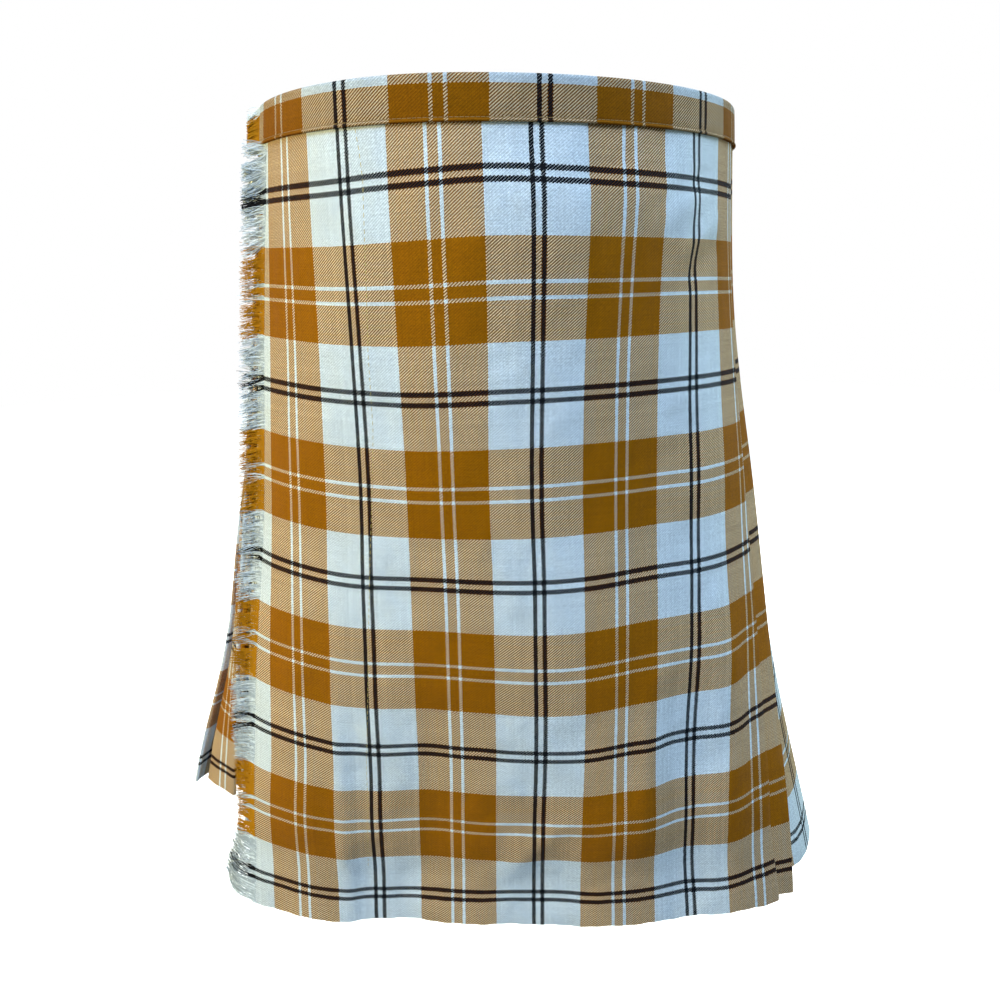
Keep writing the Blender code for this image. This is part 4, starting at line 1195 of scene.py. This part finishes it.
def build_keeper(strap, hide):
    """The loop that holds the strap's tail down. Its feet are sewn on beside the strap."""
    half = TAB_THICK / 2
    side = STRAP_WIDE / 2 + KEEPER_SIDE_GAP + half
    bend = 1.2 * MM
    top = STRAP_ON_TAB + STRAP_THICK / 2 + SEAM_GAP + half
    foot = SEAM_GAP + half
    path = [
        (-side - KEEPER_FOOT, foot), (-side - bend / 2, foot), (-side, foot + bend / 2),
        (-side, top - bend), (-side + bend, top),
    ]
    path = eased(path + [(-down, height) for down, height in reversed(path)])
    runs = BUCKLE_SPAN + KEEPER_AT + np.linspace(0, KEEPER_LONG, 4)
    grids = [strap.points(runs, face[:, :1], face[:, 1:]) for face in both_faces(path, half)]
    uv = np.stack([path[:, :1] + 0 * runs, runs + 0 * path[:, :1]], -1)
    keeper = shell(f"{strap.side}_keeper_leather", *grids, uv, hide, "strap_leather")
    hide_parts(f"{strap.side}_strap_keeper")


EDGE_STEP = (0.002, 0.011)  # past the fringed edge, the strap comes up between these
SLIT_STEP = [
    # distance past the slit's middle, height (0 inside the pleats, 1 on them), lift from there
    (-0.0035, 0, 0.0012), (0.0030, 1, -0.0008), (0.0055, 1, 0),
]


def build_straps(hide):
    right = Strap("right", RIGHT_FRONT_BAR, -1)
    inside = SINK - CLOTH - SEAM_GAP - STRAP_THICK / 2
    steps = [APRON_FREE_EDGE_TOP - past for past in EDGE_STEP]
    start = [(RIGHT_FRONT_BAR - t, inside) for t in (*RIGHT_SEWN, steps[0])]
    for t in np.linspace(steps[1], RIGHT_FRONT_BAR + 0.015, 6):
        start.append((RIGHT_FRONT_BAR - t, STRAP_LIES))
    build_fastening(right, start, hide)
    build_keeper(right, hide)
    left = Strap("left", LEFT_FRONT_BAR, 1)
    inside = under_out(STRAP_DROP) - PLEAT_CLOTH / 2 - SEAM_GAP - STRAP_THICK / 2
    slit = (SLIT[0] + SLIT[1]) / 2
    start = [(t - LEFT_FRONT_BAR, inside) for t in np.linspace(LEFT_SEWN[0], slit - 0.0065, 10)]
    for past, height, lift in SLIT_STEP:
        start.append((slit + past - LEFT_FRONT_BAR, (inside, STRAP_LIES)[height] + lift))
    build_fastening(left, start, hide)
    build_keeper(left, hide)


# ---- Floor, light and camera

FLOOR_Z = -1.05
CAMERA_PLACE = (-0.0084, -0.6591, -0.0870)
PHOTO, FOCAL, NADIR = 1000, 800, (538, 3105)  # pixels of the photograph


def glow(name, base, light, strength):
    """A pale surface that shines a little by itself, so that it stays plain."""
    colours = {"Base_Color": (*base, 1), "Emission_Color": (*light, 1)}
    return Finish(name, 0.9, Specular_IOR_Level=0.0, Emission_Strength=strength, **colours).made


def build_stage():
    """A pale floor where the wearer would stand, and a plain white surround."""
    middle = (0, 0, FLOOR_Z)
    bpy.ops.mesh.primitive_circle_add(vertices=96, radius=5.9, fill_type="NGON", location=middle)
    floor = bpy.context.object
    bpy.ops.mesh.primitive_uv_sphere_add(segments=64, ring_count=32, radius=6.0, location=middle)
    surround = bpy.context.object
    pale = glow("pale_floor", (0.98, 0.98, 0.98), (0.98, 0.98, 0.98), 0.95)
    white = glow("white_surround", (0, 0, 0), (1, 1, 1), 1.0)
    for obj, name, finish in ((floor, "floor", pale), (surround, "surround", white)):
        obj.name = name
        obj.data.materials.append(finish)
        for ray in ("diffuse", "glossy", "transmission", "shadow"):
            setattr(obj, "visible_" + ray, False)


def area_light(name, place_at, aim, size, power, colour):
    data = bpy.data.lights.new(name, "AREA")
    data.shape = "DISK"
    data.size = size
    data.energy = power
    data.color = colour
    obj = bpy.data.objects.new(name, data)
    obj.location = place_at
    obj.rotation_euler = (Vector(aim) - Vector(place_at)).to_track_quat("-Z", "Y").to_euler()
    link(obj)


def build_lights():
    world = bpy.data.worlds.new("studio")
    world.use_nodes = True
    sky = world.node_tree.nodes["Background"]
    sky.inputs["Color"].default_value = (0.66, 0.93, 1.0, 1)
    sky.inputs["Strength"].default_value = 0.175
    bpy.context.scene.world = world
    middle = (0, 0, -0.3)
    area_light("key", (-2.36, -0.86, 0.37), middle, 1.2, 50, (1.0, 0.88, 0.42))
    area_light("fill", (0, -1.67, 1.69), middle, 1.2, 83, (0.46, 0.64, 0.93))
    area_light("side", (2.1, 1.0, 0.6), middle, 1.6, 42, (0.72, 0.96, 1.0))
    area_light("rear", (0.5, 2.3, 0.9), middle, 1.6, 55, (1.0, 0.95, 0.84))
    bpy.context.scene.view_settings.view_transform = "Standard"


def build_camera():
    """The photograph's camera: its place, and its tilt from where its vertical lines meet."""
    down = unit(np.array([NADIR[0] - PHOTO / 2, NADIR[1] - PHOTO / 2, FOCAL]))
    forward = unit(np.array([0.0, 0.0, 1.0]) - down * down[2])
    axes = np.stack([np.cross(down, forward), forward, -down]) * (1, -1, -1)
    data = bpy.data.cameras.new("camera")
    data.sensor_width = 36
    data.lens = data.sensor_width * FOCAL / PHOTO
    data.clip_start = 0.01
    data.clip_end = 30
    camera = bpy.data.objects.new("camera", data)
    link(camera)
    rows = [[*axis, at] for axis, at in zip(axes, CAMERA_PLACE)]
    camera.matrix_world = Matrix(rows + [[0, 0, 0, 1]])
    bpy.context.scene.camera = camera


# Cloth taken up where the pleats join both aprons, and by the band's two turned edges
BAND_TURNINGS = 0.004


def main():
    cloth = tartan("tartan_twill")
    band_top = FIRST_BLACK_DROP + FIRST_MUSTARD * SETT_DOWN - BAND_WHITE
    band_cloth = tartan("waistband_twill", BAND_PHASE_ACROSS, band_top, BAND_PAINTED_SHADE)
    yarns = [yarn(f"{dye}_yarn", colour) for dye, colour in LOOSE_YARNS.items()]
    hide = leather("strap_hide", (0.010, 0.008, 0.007))
    metal = steel("buckle_steel")
    gold = thread("golden_thread", (0.62, 0.45, 0.10))
    matching = thread("matching_thread", (0.34, 0.19, 0.05))
    apron = build_outer_apron(cloth)
    pleats = build_pleats(cloth)
    under = build_under_apron(cloth)
    band = build_waistband(band_cloth)
    fringe, tuft = build_fringes(yarns)
    line = build_stitching(gold, matching)
    build_straps(hide)
    for side in ("right", "left"):
        for part in ("buckle_frame", "buckle_prong"):
            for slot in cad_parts[f"{side}_{part}"].material_slots:
                slot.material = metal
    width = APRON_FOLD - APRON_FREE_EDGE_HEM + SEAM_SHARE * OVERLAP_SHARE * reveal(LENGTH)
    pleat_cloth = [reveal(d) * (1 + 2 * OVERLAP_SHARE) * PLEATS for d in (0.0, LENGTH)]
    strip = (section(0).round + UNDER_APRON_END - APRON_FREE_EDGE_TOP, 2 * BAND_TALL + BAND_TURNINGS)
    build_stage()
    build_lights()
    build_camera()


main()
